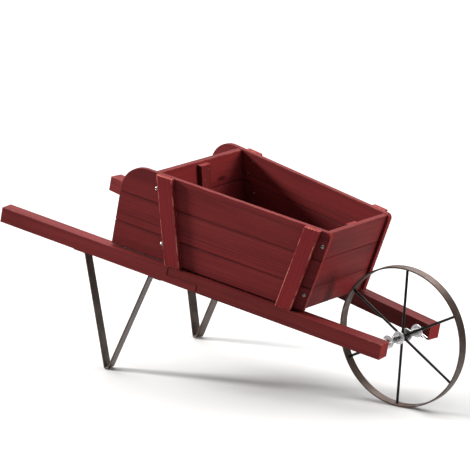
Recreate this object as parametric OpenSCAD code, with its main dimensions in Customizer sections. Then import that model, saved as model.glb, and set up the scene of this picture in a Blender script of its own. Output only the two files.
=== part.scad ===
// Wooden garden wheelbarrow planter: two converging shafts in two lapped pieces each,
// a planked box with flared ends, two strap-iron legs and one spoked iron wheel.
// Row frame: +X towards the wheel, +Y to the left of someone holding the handles, +Z up.
// The origin is on the ground, under the centre of the bounding box.

/* [Shafts] */
// Length of one shaft, its two lapped pieces together
shaft_l = 840; // [700:5:1010]
// Side of a shaft's square section
shaft_w = 30; // [25:1:36]
// Distance between the shafts' centre lines at the handle ends
handle_gap = 349; // [290:1:420]
// Distance between the shafts' centre lines at the axle
axle_gap = 176; // [146:1:212]
// Slope of the shafts, handles up, when the barrow stands
tilt = 10.3; // [8.6:0.1:12.4]
// Distance from the axle to the shafts' wheel ends
axle_inset = 17; // [14:1:21]
// Height of the axle above the shafts' centre lines
axle_rise = 3.5; // [3:0.5:4]
// Where the half lap starts, from the handle end
lap_start = 378; // [365:1:382]
// Length of the half lap
lap_l = 66; // [55:1:80]

/* [Box] */
// Height of the sides above the shafts
side_h = 168; // [140:1:202]
// Top of the lowest plank above the shafts
low_plank_h = 51; // [42:1:62]
// Gap between the shafts and the lowest planks
low_gap = 3; // [2:0.5:4]
// Thickness of every plank
plank_t = 10; // [8.5:0.5:12]
// Chamfer on the planks' joined edges
plank_bevel = 1.2; // [0.8:0.1:1.6]
// Distance from a shaft's outer face to the side planks
side_inset = 13.5; // [11.5:0.5:14]
// Rear edge of the side planks, from the handle end
wing_start = 242; // [205:1:285]
// Radius of the side's rear top corner
wing_r = 50; // [40:1:60]
// Radius of the side's front top corner
nose_r = 9; // [7:1:12]
// Width of a batten
batten_w = 32; // [27:1:38]
// Thickness of a batten
batten_t = 10; // [8:0.5:12]
// Foot of the rear batten's centre line, from the handle end
rear_batten_u = 384; // [378:1:400]
// Foot of the front batten's centre line, from the handle end
front_batten_u = 626; // [600:1:660]
// Lean of the rear batten and rear board, towards the handles
rear_lean = 16.4; // [13.7:0.1:19.6]
// Lean of the front batten and front board, towards the wheel
front_lean = 10.3; // [8.6:0.1:12.4]
// Side planks left in front of the front batten
front_margin = 21; // [19:0.5:25]
// Distance from the side planks' front edge back to the front board
front_setback = 4.5; // [3.5:0.5:6]
// Distance from the rear batten back to the rear board
rear_setback = 2.6; // [2:0.1:3.2]
// Drop of the end boards' top edge below the sides
end_drop = 2; // [0:0.5:5]
// Width of the cleat that joins an end board's planks
cleat_w = 30; // [25:1:36]
// Thickness of a floor slat
slat_t = 10; // [8:0.5:12]
// Gap between floor slats, for drainage
slat_gap = 6; // [4:0.5:8]

/* [Legs] */
// Width of the leg strap
leg_w = 22; // [18:1:27]
// Thickness of the leg strap
leg_t = 3; // [2.5:0.5:4]
// Rear bend at the top of a leg, from the handle end
leg_rear_u = 194; // [170:1:210]
// Front bend at the top of a leg, from the handle end
leg_front_u = 338; // [310:1:345]
// Foot of a leg, from the handle end
leg_foot_u = 280; // [262:1:296]
// Length of the flange at each end of the strap
flange_l = 26; // [22:1:30]
// Outer radius of the bend at the foot
foot_r = 6; // [5:0.5:8]

/* [Wheel] */
// Outer diameter of the rim
wheel_d = 266; // [222:2:320]
// Width of the rim's flat bar
rim_w = 20; // [17:1:24]
// Thickness of the rim's flat bar
rim_t = 3; // [2.5:0.5:4]
// Diameter of a spoke
spoke_d = 5; // [4:0.5:6]
// Angle of the first spoke above the wheel's front
spoke_start = 27; // [0:1:59]
// Outer diameter of the hub tube
hub_d = 17; // [15:1:20]
// Length of the hub tube
hub_l = 24; // [20:1:29]
// Diameter of the axle rod
axle_d = 8; // [7:0.5:9]
// Depth of the axle's sockets in the shafts
socket_depth = 18; // [15:1:20]
// Outer diameter of a spring
spring_d = 14; // [13:0.5:16]
// Length of a spring as fitted
spring_l = 34; // [28:1:38]
// Diameter of the spring wire
wire_d = 1.6; // [1.3:0.1:1.9]
// Turns of a spring
spring_turns = 8; // [7:1:10]
// Outer diameter of an axle washer
washer_d = 25; // [21:1:29]
// Thickness of an axle washer
washer_t = 1.5; // [1.2:0.1:1.8]
// Diameter of a split pin's shank
pin_d = 3; // [2.5:0.1:3.5]
// Length of a split pin's legs past the axle
pin_leg_l = 20; // [16:1:24]
// Angle between a split pin's axis and each leg, in degrees
pin_spread = 7; // [4:1:10]
// Mean radius of a split pin's eye
pin_eye_r = 2.2; // [2:0.1:2.6]

/* [Fasteners] */
// Diameter of a screw's shank
screw_d = 4; // [3.5:0.1:4.5]
// Diameter of a screw's head
head_d = 8; // [7:0.5:9]
// Height of a pan head
head_h = 2.4; // [2:0.1:2.8]
// Length of the screws in the side planks, under the head
side_screw_l = 28; // [24:1:33]
// Diameter of a nail
nail_d = 1.6; // [1.4:0.1:2]
// Diameter of a nail's head
nail_head_d = 3.6; // [3:0.1:4.2]
// Length of a nail under its head
nail_l = 17; // [15:0.5:18]
// Depth of the floor brads' heads below the slats' faces
brad_sink = 1; // [0.8:0.1:1.2]

/* [Fits] */
// Radial running clearance of the hub on the axle
running_fit = 0.08; // [0.05:0.01:0.1]
// Gap between pieces of wood or metal that only lie against each other
joint_gap = 0.3; // [0.2:0.1:0.4]
// Gap left at each shoulder of the half lap
lap_gap = 1.2; // [0.8:0.1:1.6]
// Gap between two planks
seam_gap = 0.4; // [0.2:0.1:0.6]
// Radial clearance of screws, nails and the axle in their holes
hole_fit = 0.1; // [0.05:0.01:0.15]

/* [Hidden] */
$fn = 48;

RIGHT = -1;
LEFT = 1;
WOOD = "brown";
IRON = "dimgray";
ZINC = "silver";
SLATS = 5;
SPOKES = 6;
big = 2000;                 // larger than the whole barrow, for cuts
eps = 0.01;                 // overlap of a cut past the face that it opens

// Shafts and frames
wheel_r = wheel_d / 2;
rim_in = wheel_r - rim_t;
axle_u = shaft_l - axle_inset;
taper = asin((handle_gap - axle_gap) / 2 / axle_u);
rear_x = cos(tilt) * (-axle_u * cos(taper) - shaft_w / 2 * sin(taper)) - sin(tilt) * (shaft_w / 2 + axle_rise);
axle_x = -(wheel_r + rear_x) / 2;
lap_end = lap_start + lap_l;

// Box: y is measured inwards from a shaft's centre line
plank_out = side_inset - shaft_w / 2;
plank_in = plank_out + plank_t;
plank_mid = plank_out + plank_t / 2;
seams = [low_gap, low_plank_h, (low_plank_h + side_h) / 2, side_h];
front_edge = front_batten_u + (batten_w / 2 + front_margin) / cos(front_lean);
screw_mid = (plank_in + plank_out + side_screw_l) / 2;
front_screw_u = front_edge - (front_setback + plank_t / 2) / cos(front_lean);
rear_screw_u = rear_batten_u - (batten_w / 2 + rear_setback + plank_t / 2) / cos(rear_lean);
screw_heights = [0.69 * low_plank_h, side_h - 0.52 * (side_h - low_plank_h) / 2];

// End boards: x is measured along the barrow's centre line from the handle ends
front_x = front_screw_u * cos(taper) - screw_mid * sin(taper);
rear_x0 = rear_screw_u * cos(taper) - screw_mid * sin(taper);
front_tan = tan(front_lean) * cos(taper);
rear_tan = -tan(rear_lean) * cos(taper);
end_h = side_h - end_drop;
floor_from = rear_x0 + plank_t / 2 / cos(rear_lean) + joint_gap;
floor_to = front_x - plank_t / 2 / cos(front_lean) - joint_gap;
slat_w = (floor_to - floor_from - (SLATS - 1) * slat_gap) / SLATS;
brad_y = (plank_in + shaft_w / 2) / 2;
brad_l = slat_t + 12;

// Legs, in the plane of their shaft: height is measured from the shaft's top face
strap_v = -shaft_w - leg_t / 2;
bend_r = foot_r - leg_t / 2;
foot_v = ground_v(leg_foot_u, foot_r + leg_w / 2 * sin(taper) * sin(tilt));
leg_screw_us = [leg_rear_u - flange_l / 2, leg_front_u + flange_l / 2];
lap_screw_us = [lap_start + 0.38 * lap_l, lap_start + 0.8 * lap_l];
box_screw_l = shaft_w + 22;

// Axle
inner_y = axle_gap / 2 - shaft_w / 2 / cos(taper);
spring_from = hub_l / 2 + joint_gap + washer_t + joint_gap;
spring_to = spring_from + spring_l;
washer_y = spring_to + joint_gap;
pin_y = washer_y + washer_t + joint_gap + pin_d / 2;
pin_turn = [-16, 30];       // how far each pin's legs hang below level: right (legs to the rear), left

// Height over the shaft's top face at which a point u along it is z above the ground
function ground_v(u, z) =
    (z - wheel_r + (u - axle_u) * cos(taper) * sin(tilt)) / cos(tilt) + axle_rise - shaft_w / 2;

// Half of the width between the side planks, x along the centre line
function inner_half(x) = handle_gap / 2 - x * tan(taper) - plank_in / cos(taper);

// Points of an arc round c
function arc(c, r, from, to, steps = 16) =
    [for (i = [0:steps]) let (a = from + (to - from) * i / steps) c + r * [cos(a), sin(a)]];

// Section of a plank: thickness along x, from height low to high, chamfered where it meets another
function plank_section(low, high, bevel_low, bevel_high) = let (t = plank_t / 2) [
    [-t, low + bevel_low], [-t + bevel_low, low], [t - bevel_low, low], [t, low + bevel_low],
    [t, high - bevel_high], [t - bevel_high, high], [-t + bevel_high, high], [-t, high - bevel_high]
];

// Section of plank i of three, its heights stretched by 1 / cos(lean)
function section_of(i, top, lean) = plank_section(
    (seams[i] + (i == 0 ? -plank_t : seam_gap / 2)) / cos(lean),
    (i == 2 ? top + plank_t : seams[i + 1] - seam_gap / 2) / cos(lean),
    i == 0 ? 0 : plank_bevel, i == 2 ? 0 : plank_bevel);

// ---- frames ----

// The frame of the shafts: it slopes with them, and its origin is between their centre lines under the axle
module chassis() {
    translate([axle_x, 0, wheel_r]) rotate([0, tilt, 0]) translate([0, 0, -axle_rise]) children();
}

// One shaft: x along it from the handle end, y inwards from its centre line, z up from its top face
module along_shaft(side) {
    chassis()
        mirror([0, side == RIGHT ? 0 : 1, 0])
            translate([0, -axle_gap / 2, 0]) rotate([0, 0, taper]) translate([-axle_u, 0, shaft_w / 2]) children();
}

// The centre line: x along it from the handle ends, z up from the shafts' top faces
module along_middle() {
    chassis() translate([-axle_u * cos(taper), 0, shaft_w / 2]) children();
}

// The axle: z along the axle towards side, from the barrow's centre line
module along_axle(side) {
    translate([axle_x, 0, wheel_r]) rotate([side == RIGHT ? 90 : -90, 0, 0]) children();
}

// ---- fasteners, pointing down -z from the face that their head lies on ----

module tapered_shank(d, l) {
    tip = min(1.5 * d, l / 3);
    translate([0, 0, -l + tip]) cylinder(d = d, h = l - tip);
    translate([0, 0, -l]) cylinder(d1 = d / 4, d2 = d, h = tip);
}

module pan_screw(l) {
    r = (pow(head_d / 2, 2) + pow(head_h, 2)) / (2 * head_h);
    difference() {
        intersection() {
            translate([0, 0, head_h - r]) sphere(r);
            translate([-head_d, -head_d, 0]) cube([2 * head_d, 2 * head_d, head_h + 1]);
        }
        for (a = [0, 90])
            rotate([0, 0, a + 20]) translate([-0.3 * head_d, -0.5, 0.5 * head_h])
                cube([0.6 * head_d, 1, head_h]);
    }
    tapered_shank(screw_d, l);
}

module flat_screw(l) {
    difference() {
        translate([0, 0, -head_h]) cylinder(d1 = screw_d, d2 = head_d, h = head_h);
        for (a = [0, 90])
            rotate([0, 0, a]) translate([-0.3 * head_d, -0.5, -0.5 * head_h])
                cube([0.6 * head_d, 1, head_h]);
    }
    translate([0, 0, -head_h / 2]) cylinder(d = screw_d, h = 0.1);
    tapered_shank(screw_d, l);
}

module screw_hole(l, sunk = false) {
    translate([0, 0, -l - hole_fit]) cylinder(d = screw_d + 2 * hole_fit, h = l + 1);
    if (sunk)
        translate([0, 0, -head_h - hole_fit])
            cylinder(d1 = screw_d + 2 * hole_fit, d2 = head_d + 4 * hole_fit, h = head_h + 3 * hole_fit);
}

module nail(l) {
    cylinder(d1 = nail_head_d, d2 = 0.7 * nail_head_d, h = 0.6);
    tapered_shank(nail_d, l);
}

module nail_hole(l, sunk = false) {
    translate([0, 0, -l - hole_fit]) cylinder(d = nail_d + 2 * hole_fit, h = l + 1);
    if (sunk)
        cylinder(d = nail_head_d + 2 * hole_fit, h = 2 * brad_sink);
}

// ---- where the fasteners are ----

// Screws through the side planks into the end boards; children point inwards
module at_side_screws() {
    for (v = screw_heights, end = [0, 1]) {
        u = end == 0 ? rear_screw_u - v * tan(rear_lean) : front_screw_u + v * tan(front_lean);
        translate([u, plank_out, v]) rotate([90, 0, 0]) children();
    }
}

// Screws up through a shaft from below
module at_lap_screws() {
    for (u = lap_screw_us)
        translate([u, 0, -shaft_w]) rotate([180, 0, 0]) children();
}

// Screws up through a shaft into the battens' feet
module at_box_screws() {
    for (u = [rear_batten_u, front_batten_u])
        translate([u, plank_out - batten_t / 2, -shaft_w]) rotate([180, 0, 0]) children();
}

module at_leg_screws() {
    for (u = leg_screw_us)
        translate([u, 0, -shaft_w - leg_t]) rotate([180, 0, 0]) children();
}

// Nails from inside the box through the side planks into the battens
module at_batten_nails() {
    for (i = [0:2], k = [0.28, 0.72], end = [0, 1]) {
        v = seams[i] + k * (seams[i + 1] - seams[i]);
        u = end == 0 ? rear_batten_u - v * tan(rear_lean) : front_batten_u + v * tan(front_lean);
        translate([u + (k < 0.5 ? -0.22 : 0.22) * batten_w, plank_in, v]) rotate([-90, 0, 0]) children();
    }
}

// Brads down through the ends of the floor slats into a shaft
module at_floor_brads() {
    for (i = [0:SLATS - 1]) {
        x = floor_from + slat_w / 2 + i * (slat_w + slat_gap);
        translate([(x + brad_y * sin(taper)) / cos(taper), brad_y, slat_t - brad_sink]) children();
    }
}

// Frame of an end board: x through its thickness, z up along it
module end_board_frame(front) {
    translate([front ? front_x : rear_x0, 0, 0])
        rotate([0, atan(front ? front_tan : rear_tan), 0]) children();
}

// Nails through a cleat into the end board's planks; children point out of the box
module at_cleat_nails(front) {
    lean = atan(front ? front_tan : -rear_tan);
    for (i = [0:2], k = [0.34, 0.66]) {
        v = seams[i] + k * (seams[i + 1] - seams[i]);
        end_board_frame(front)
            translate([(front ? -1 : 1) * plank_t * 1.5, (k < 0.5 ? -0.22 : 0.22) * cleat_w, v / cos(lean)])
                rotate([0, front ? -90 : 90, 0]) children();
    }
}

// ---- shafts ----

module shaft_bar(from, to, low, high) {
    translate([from, -shaft_w / 2, low]) cube([to - from, shaft_w, high - low]);
}

module shaft_holes() {
    at_lap_screws() screw_hole(shaft_w - 4, true);
    at_box_screws() screw_hole(box_screw_l, true);
    at_leg_screws() screw_hole(shaft_w - 6);
    at_floor_brads() nail_hole(brad_l);
}

module shaft_handle(side) {
    color(WOOD) along_shaft(side) difference() {
        union() {
            shaft_bar(0, lap_start, -shaft_w, 0);
            shaft_bar(lap_start - eps, lap_end, -shaft_w, -shaft_w / 2);
        }
        shaft_holes();
    }
}

module shaft_front(side) {
    color(WOOD) difference() {
        along_shaft(side) difference() {
            union() {
                shaft_bar(lap_start + lap_gap, lap_end + lap_gap + eps, -shaft_w / 2, 0);
                shaft_bar(lap_end + lap_gap, shaft_l, -shaft_w, 0);
            }
            shaft_holes();
        }
        along_axle(side) translate([0, 0, inner_y - shaft_w])
            cylinder(d = axle_d + 2 * hole_fit, h = shaft_w + socket_depth);
    }
}

// ---- box ----

// Outline of a side, seen from the side, x along the shaft and y up
module side_outline() {
    nose_c = [front_edge + (side_h - nose_r) * tan(front_lean) - nose_r / cos(front_lean), side_h - nose_r];
    polygon(concat(
        [[wing_start, low_gap], [front_edge + low_gap * tan(front_lean), low_gap]],
        arc(nose_c, nose_r, -front_lean, 90, 8),
        arc([wing_start + wing_r, side_h - wing_r], wing_r, 90, 180)));
}

module side_plank(side, i) {
    color(WOOD) along_shaft(side) difference() {
        intersection() {
            translate([0, plank_mid, 0]) rotate([90, 0, 90])
                linear_extrude(front_edge + side_h) polygon(section_of(i, side_h, 0));
            translate([0, plank_in + 1, 0]) rotate([90, 0, 0]) linear_extrude(plank_t + 2) side_outline();
        }
        at_side_screws() screw_hole(side_screw_l);
        at_batten_nails() nail_hole(nail_l);
    }
}

// A batten on the outside of a side: it stands on the shaft and stops level with the planks
module batten(side, u, slope) {
    color(WOOD) along_shaft(side) difference() {
        translate([0, plank_out, 0]) rotate([90, 0, 0]) linear_extrude(batten_t) polygon([
            [u - batten_w / 2 / cos(slope), 0], [u + batten_w / 2 / cos(slope), 0],
            [u + batten_w / 2 / cos(slope) + side_h * tan(slope), side_h],
            [u - batten_w / 2 / cos(slope) + side_h * tan(slope), side_h]]);
        at_box_screws() screw_hole(box_screw_l);
        at_batten_nails() nail_hole(nail_l);
    }
}

// The space between the two sides, from height low to high
module between_sides(low, high, gap) {
    x_far = front_x + side_h;
    translate([0, 0, low]) linear_extrude(high - low) polygon([
        [0, -inner_half(0) + gap], [x_far, -inner_half(x_far) + gap],
        [x_far, inner_half(x_far) - gap], [0, inner_half(0) - gap]]);
}

module end_plank(front, i) {
    color(WOOD) difference() {
        along_middle() difference() {
            intersection() {
                end_board_frame(front) translate([0, big / 2, 0]) rotate([90, 0, 0])
                    linear_extrude(big) polygon(section_of(i, end_h, front ? front_lean : rear_lean));
                between_sides(low_gap, end_h, 0);
            }
            at_cleat_nails(front) nail_hole(nail_l);
        }
        for (side = [RIGHT, LEFT])
            along_shaft(side) at_side_screws() screw_hole(side_screw_l);
    }
}

// The cleat inside an end board, standing on the floor
module cleat(front) {
    color(WOOD) along_middle() difference() {
        intersection() {
            end_board_frame(front)
                translate([front ? -1.5 * plank_t : 0.5 * plank_t, -cleat_w / 2, -plank_t])
                    cube([plank_t, cleat_w, side_h * 1.2]);
            translate([0, -big / 2, slat_t]) cube([big, big, end_h - slat_t - 4]);
        }
        at_cleat_nails(front) nail_hole(nail_l);
    }
}

module floor_slat(i) {
    x = floor_from + i * (slat_w + slat_gap);
    color(WOOD) difference() {
        along_middle() intersection() {
            translate([x, -big / 2, 0]) cube([slat_w, big, slat_t]);
            between_sides(0, slat_t, joint_gap);
        }
        for (side = [RIGHT, LEFT])
            along_shaft(side) at_floor_brads() nail_hole(brad_l, true);
    }
}

// ---- legs ----

// Direction in which the strap leaves the foot's bend for a bend at the top
function strap_angle(top) = let (d = top - [leg_foot_u, foot_v], turn = asin(bend_r / norm(d)))
    atan2(d[1], d[0]) + (d[0] < 0 ? -turn : turn);

// Unit normal to the left of the way from a to b
function left_of(a, b) = let (d = (b - a) / norm(b - a)) [-d[1], d[0]];

// The path moved sideways by t, its corners mitred
function beside(path, t) = let (last = len(path) - 1) [for (i = [0:last])
    let (n0 = left_of(path[max(i - 1, 0)], path[max(i, 1)]),
         n1 = left_of(path[min(i, last - 1)], path[min(i + 1, last)]))
    path[i] + t * (n0 + n1) / (1 + n0 * n1)];

// Side view of a leg: one strap along the shaft, down to the foot and back
module leg_outline() {
    tops = [[leg_rear_u, strap_v], [leg_front_u, strap_v]];
    bend = arc([leg_foot_u, foot_v], bend_r, strap_angle(tops[0]) + 90, strap_angle(tops[1]) + 270, 8);
    strap = concat([tops[0] - [flange_l, 0], tops[0]], bend, [tops[1], tops[1] + [flange_l, 0]]);
    under = beside(strap, -leg_t / 2);
    polygon(concat(beside(strap, leg_t / 2), [for (i = [len(under) - 1:-1:0]) under[i]]));
}

module leg(side) {
    color(IRON) along_shaft(side) difference() {
        translate([0, leg_w / 2, 0]) rotate([90, 0, 0]) linear_extrude(leg_w) leg_outline();
        at_leg_screws() screw_hole(shaft_w);
    }
}

// ---- wheel and axle ----

module axle_rod() {
    l = 2 * (inner_y + socket_depth - joint_gap);
    color(ZINC) difference() {
        along_axle(RIGHT) cylinder(d = axle_d, h = l, center = true);
        for (side = [RIGHT, LEFT])
            at_pin(side) rotate([0, 90, 0]) cylinder(d = pin_d + 2 * hole_fit, h = 2 * axle_d, center = true);
    }
}

// The frame of a split pin: x along its legs, z along the axle
module at_pin(side) {
    along_axle(side) translate([0, 0, pin_y])
        rotate([0, 0, side == RIGHT ? 180 + pin_turn[0] : pin_turn[1]]) children();
}

module split_pin(side) {
    reach = axle_d / 2 + 1.2;
    color(ZINC) at_pin(side) {
        rotate([0, 90, 0]) cylinder(d = pin_d, h = 2 * reach, center = true);
        for (s = [-1, 1])
            translate([axle_d / 2, s * pin_d / 4, 0]) rotate([0, 0, s * pin_spread]) rotate([0, 90, 0])
                cylinder(d = 0.45 * pin_d, h = pin_leg_l);
        translate([-reach - pin_eye_r, 0, 0]) rotate_extrude() translate([pin_eye_r, 0]) circle(d = 0.5 * pin_d);
    }
}

module washer(side, y) {
    color(ZINC) along_axle(side) translate([0, 0, y]) difference() {
        cylinder(d = washer_d, h = washer_t);
        translate([0, 0, -1]) cylinder(d = axle_d + 4 * hole_fit, h = washer_t + 2);
    }
}

// A coil spring: rings of wire points along a helix, the end turns closed up
module spring(side) {
    per_turn = 18;
    sides = 6;
    rings = spring_turns * per_turn;
    r = (spring_d - wire_d) / 2;
    low = spring_from + wire_d / 2;
    high = spring_to - wire_d / 2;
    // Share of the free length reached at turn t, with one closed turn at each end
    pitch = (high - low - 2 * wire_d) / (spring_turns - 2);
    centres = [for (i = [0:rings]) let (t = i / per_turn, back = spring_turns - t)
        [360 * t, t < 1 ? low + wire_d * t
                : back < 1 ? high - wire_d * back : low + wire_d + pitch * (t - 1)]];
    points = [for (c = centres, k = [0:sides - 1]) let (w = 360 * k / sides)
        [(r + wire_d / 2 * cos(w)) * cos(c[0]), (r + wire_d / 2 * cos(w)) * sin(c[0]),
         c[1] + wire_d / 2 * sin(w)]];
    walls = [for (i = [0:rings - 1], k = [0:sides - 1], half = [0, 1])
        let (a = i * sides + k, b = i * sides + (k + 1) % sides)
        half == 0 ? [a, a + sides, b] : [b, a + sides, b + sides]];
    caps = [for (k = [1:sides - 2], end = [0, 1]) end == 0 ? [0, k, k + 1]
        : [rings * sides, rings * sides + k + 1, rings * sides + k]];
    color(ZINC) along_axle(side) polyhedron(points, concat(walls, caps));
}

module wheel_hub() {
    color(IRON) along_axle(RIGHT) difference() {
        cylinder(d = hub_d, h = hub_l, center = true);
        cylinder(d = axle_d + 2 * running_fit, h = hub_l + 2, center = true);
    }
}

module wheel_rim() {
    color(IRON) along_axle(RIGHT) difference() {
        cylinder(r = wheel_r, h = rim_w, center = true, $fn = 96);
        cylinder(r = rim_in, h = rim_w + 2, center = true, $fn = 96);
    }
}

module spoke(i) {
    color(IRON) along_axle(LEFT) intersection() {
        rotate([0, 0, -spoke_start - 360 / SPOKES * i]) rotate([0, 90, 0])
            cylinder(d = spoke_d, h = wheel_r);
        difference() {
            cylinder(r = rim_in, h = 2 * spoke_d, center = true, $fn = 96);
            cylinder(d = hub_d, h = 3 * spoke_d, center = true);
        }
    }
}

// ---- fastener groups ----

module side_screws(side) {
    color(ZINC) along_shaft(side) at_side_screws() pan_screw(side_screw_l);
}

module lap_screws(side) {
    color(ZINC) along_shaft(side) at_lap_screws() flat_screw(shaft_w - 4);
}

module box_screws(side) {
    color(ZINC) along_shaft(side) at_box_screws() flat_screw(box_screw_l);
}

module leg_screws(side) {
    color(ZINC) along_shaft(side) at_leg_screws() pan_screw(shaft_w - 6);
}

module batten_nails(side) {
    color(ZINC) along_shaft(side) at_batten_nails() nail(nail_l);
}

module cleat_nails(front) {
    color(ZINC) along_middle() at_cleat_nails(front) nail(nail_l);
}

module floor_brads(side) {
    color(ZINC) along_shaft(side) at_floor_brads() nail(brad_l);
}

// ---- nodes ----

shaft_handle(RIGHT);  // shaft_handle_right
shaft_handle(LEFT);  // shaft_handle_left
shaft_front(RIGHT);  // shaft_front_right
shaft_front(LEFT);  // shaft_front_left
side_plank(RIGHT, 0);  // side_plank_bottom_right
side_plank(RIGHT, 1);  // side_plank_middle_right
side_plank(RIGHT, 2);  // side_plank_top_right
side_plank(LEFT, 0);  // side_plank_bottom_left
side_plank(LEFT, 1);  // side_plank_middle_left
side_plank(LEFT, 2);  // side_plank_top_left
batten(RIGHT, rear_batten_u, -rear_lean);  // batten_rear_right
batten(RIGHT, front_batten_u, front_lean);  // batten_front_right
batten(LEFT, rear_batten_u, -rear_lean);  // batten_rear_left
batten(LEFT, front_batten_u, front_lean);  // batten_front_left
end_plank(true, 0);  // front_plank_bottom
end_plank(true, 1);  // front_plank_middle
end_plank(true, 2);  // front_plank_top
end_plank(false, 0);  // rear_plank_bottom
end_plank(false, 1);  // rear_plank_middle
end_plank(false, 2);  // rear_plank_top
cleat(true);  // front_cleat
cleat(false);  // rear_cleat
for (i = [0:SLATS - 1])
    floor_slat(i);
leg(RIGHT);  // leg_right
leg(LEFT);  // leg_left
axle_rod();
spring(RIGHT);  // spring_right
spring(LEFT);  // spring_left
washer(RIGHT, washer_y);  // spring_washer_right
washer(LEFT, washer_y);  // spring_washer_left
washer(RIGHT, hub_l / 2 + joint_gap);  // hub_washer_right
washer(LEFT, hub_l / 2 + joint_gap);  // hub_washer_left
split_pin(RIGHT);  // split_pin_right
split_pin(LEFT);  // split_pin_left
wheel_hub();
wheel_rim();
for (i = [0:SPOKES - 1])
    spoke(i);
side_screws(RIGHT);  // side_screws_right
side_screws(LEFT);  // side_screws_left
lap_screws(RIGHT);  // lap_screws_right
lap_screws(LEFT);  // lap_screws_left
box_screws(RIGHT);  // box_screws_right
box_screws(LEFT);  // box_screws_left
leg_screws(RIGHT);  // leg_screws_right
leg_screws(LEFT);  // leg_screws_left
batten_nails(RIGHT);  // batten_nails_right
batten_nails(LEFT);  // batten_nails_left
cleat_nails(true);  // cleat_nails_front
cleat_nails(false);  // cleat_nails_rear
floor_brads(RIGHT);  // floor_brads_right
floor_brads(LEFT);  // floor_brads_left
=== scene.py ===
"""A small wooden wheelbarrow planter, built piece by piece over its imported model.

Red-stained planks stand on two lapped shafts, with strap-iron legs behind and a spoked iron wheel
between two coil springs in front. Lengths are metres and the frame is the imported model's own:
+X towards the wheel, +Y to the left of someone holding the handles, +Z up.
"""

import logging
import math
import random
from dataclasses import dataclass
from enum import Enum
from typing import Any, Callable, Iterable, Optional, Sequence, Union

import bmesh
import bpy
from mathutils import Matrix, Vector


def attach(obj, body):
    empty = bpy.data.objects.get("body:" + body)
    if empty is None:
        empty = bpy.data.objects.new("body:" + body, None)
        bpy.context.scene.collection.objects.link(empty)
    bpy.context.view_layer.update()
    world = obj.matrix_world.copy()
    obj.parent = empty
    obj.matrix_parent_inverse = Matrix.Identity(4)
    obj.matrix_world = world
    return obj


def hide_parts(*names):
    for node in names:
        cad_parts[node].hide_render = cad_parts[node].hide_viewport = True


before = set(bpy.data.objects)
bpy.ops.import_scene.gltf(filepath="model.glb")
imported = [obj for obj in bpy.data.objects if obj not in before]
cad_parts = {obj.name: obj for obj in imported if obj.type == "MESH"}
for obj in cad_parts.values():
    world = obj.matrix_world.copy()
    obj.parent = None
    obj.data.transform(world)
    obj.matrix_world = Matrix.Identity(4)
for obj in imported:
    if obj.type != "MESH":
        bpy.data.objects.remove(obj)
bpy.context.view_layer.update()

log = logging.getLogger("barrow")

Flat = tuple[float, float]
Colour = tuple[float, float, float]
MM = 0.001
LEVELS = 3
SHARP_EDGE = 0.4
SAWN_FACE = 0.8
SOFT_METAL = 50.0
PIN_SECTION = 0.47


class Side(Enum):
    """A side of the barrow, as its sign along Y."""

    RIGHT = -1
    LEFT = 1

    @property
    def word(self) -> str:
        """The side's name, as the nodes spell it."""
        return self.name.lower()


class End(Enum):
    """An end of the box, as its sign along X."""

    REAR = -1
    FRONT = 1

    @property
    def word(self) -> str:
        """The end's name, as the nodes spell it."""
        return self.name.lower()


class Body(Enum):
    """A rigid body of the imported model."""

    BARROW = "barrow"
    WHEEL = "wheel"


class Along(Enum):
    """Which local axis the wood's grain runs along; the value lists the axes as along, across, through."""

    X = (0, 1, 2)
    Y = (1, 2, 0)
    Z = (2, 0, 1)


class Head(Enum):
    """The head of a fastener."""

    PAN = "pan"
    SUNK = "sunk"
    NAIL = "nail"


# ---- shaders -------------------------------------------------------------------------------------


class Value:
    """A node socket's output; arithmetic on it adds Math nodes to its bench."""

    def __init__(self, bench: "Bench", socket: bpy.types.NodeSocket) -> None:
        """Wrap one output socket.

        Args:
            bench: The bench whose node tree holds the socket.
            socket: The output socket.
        """
        self.bench = bench
        self.socket = socket

    def other(self, name: str) -> "Value":
        """Another output of the same node.

        Args:
            name: The output's name.

        Returns:
            The wrapped output.
        """
        return Value(self.bench, self.socket.node.outputs[name])

    def _math(self, operation: str, first: "Number", second: "Number") -> "Value":
        """Join two numbers with one Math node."""
        return self.bench.node("ShaderNodeMath", {"operation": operation}, {0: first, 1: second})

    def __add__(self, other: "Number") -> "Value":
        """Sum."""
        return self._math("ADD", self, other)

    def __radd__(self, other: "Number") -> "Value":
        """Sum, reflected."""
        return self._math("ADD", other, self)

    def __sub__(self, other: "Number") -> "Value":
        """Difference."""
        return self._math("SUBTRACT", self, other)

    def __rsub__(self, other: "Number") -> "Value":
        """Difference, reflected."""
        return self._math("SUBTRACT", other, self)

    def __mul__(self, other: "Number") -> "Value":
        """Product."""
        return self._math("MULTIPLY", self, other)

    def __rmul__(self, other: "Number") -> "Value":
        """Product, reflected."""
        return self._math("MULTIPLY", other, self)

    def __truediv__(self, other: "Number") -> "Value":
        """Quotient."""
        return self._math("DIVIDE", self, other)

    def __pow__(self, other: "Number") -> "Value":
        """Power."""
        return self._math("POWER", self, other)


Number = Union[Value, float]


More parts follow.
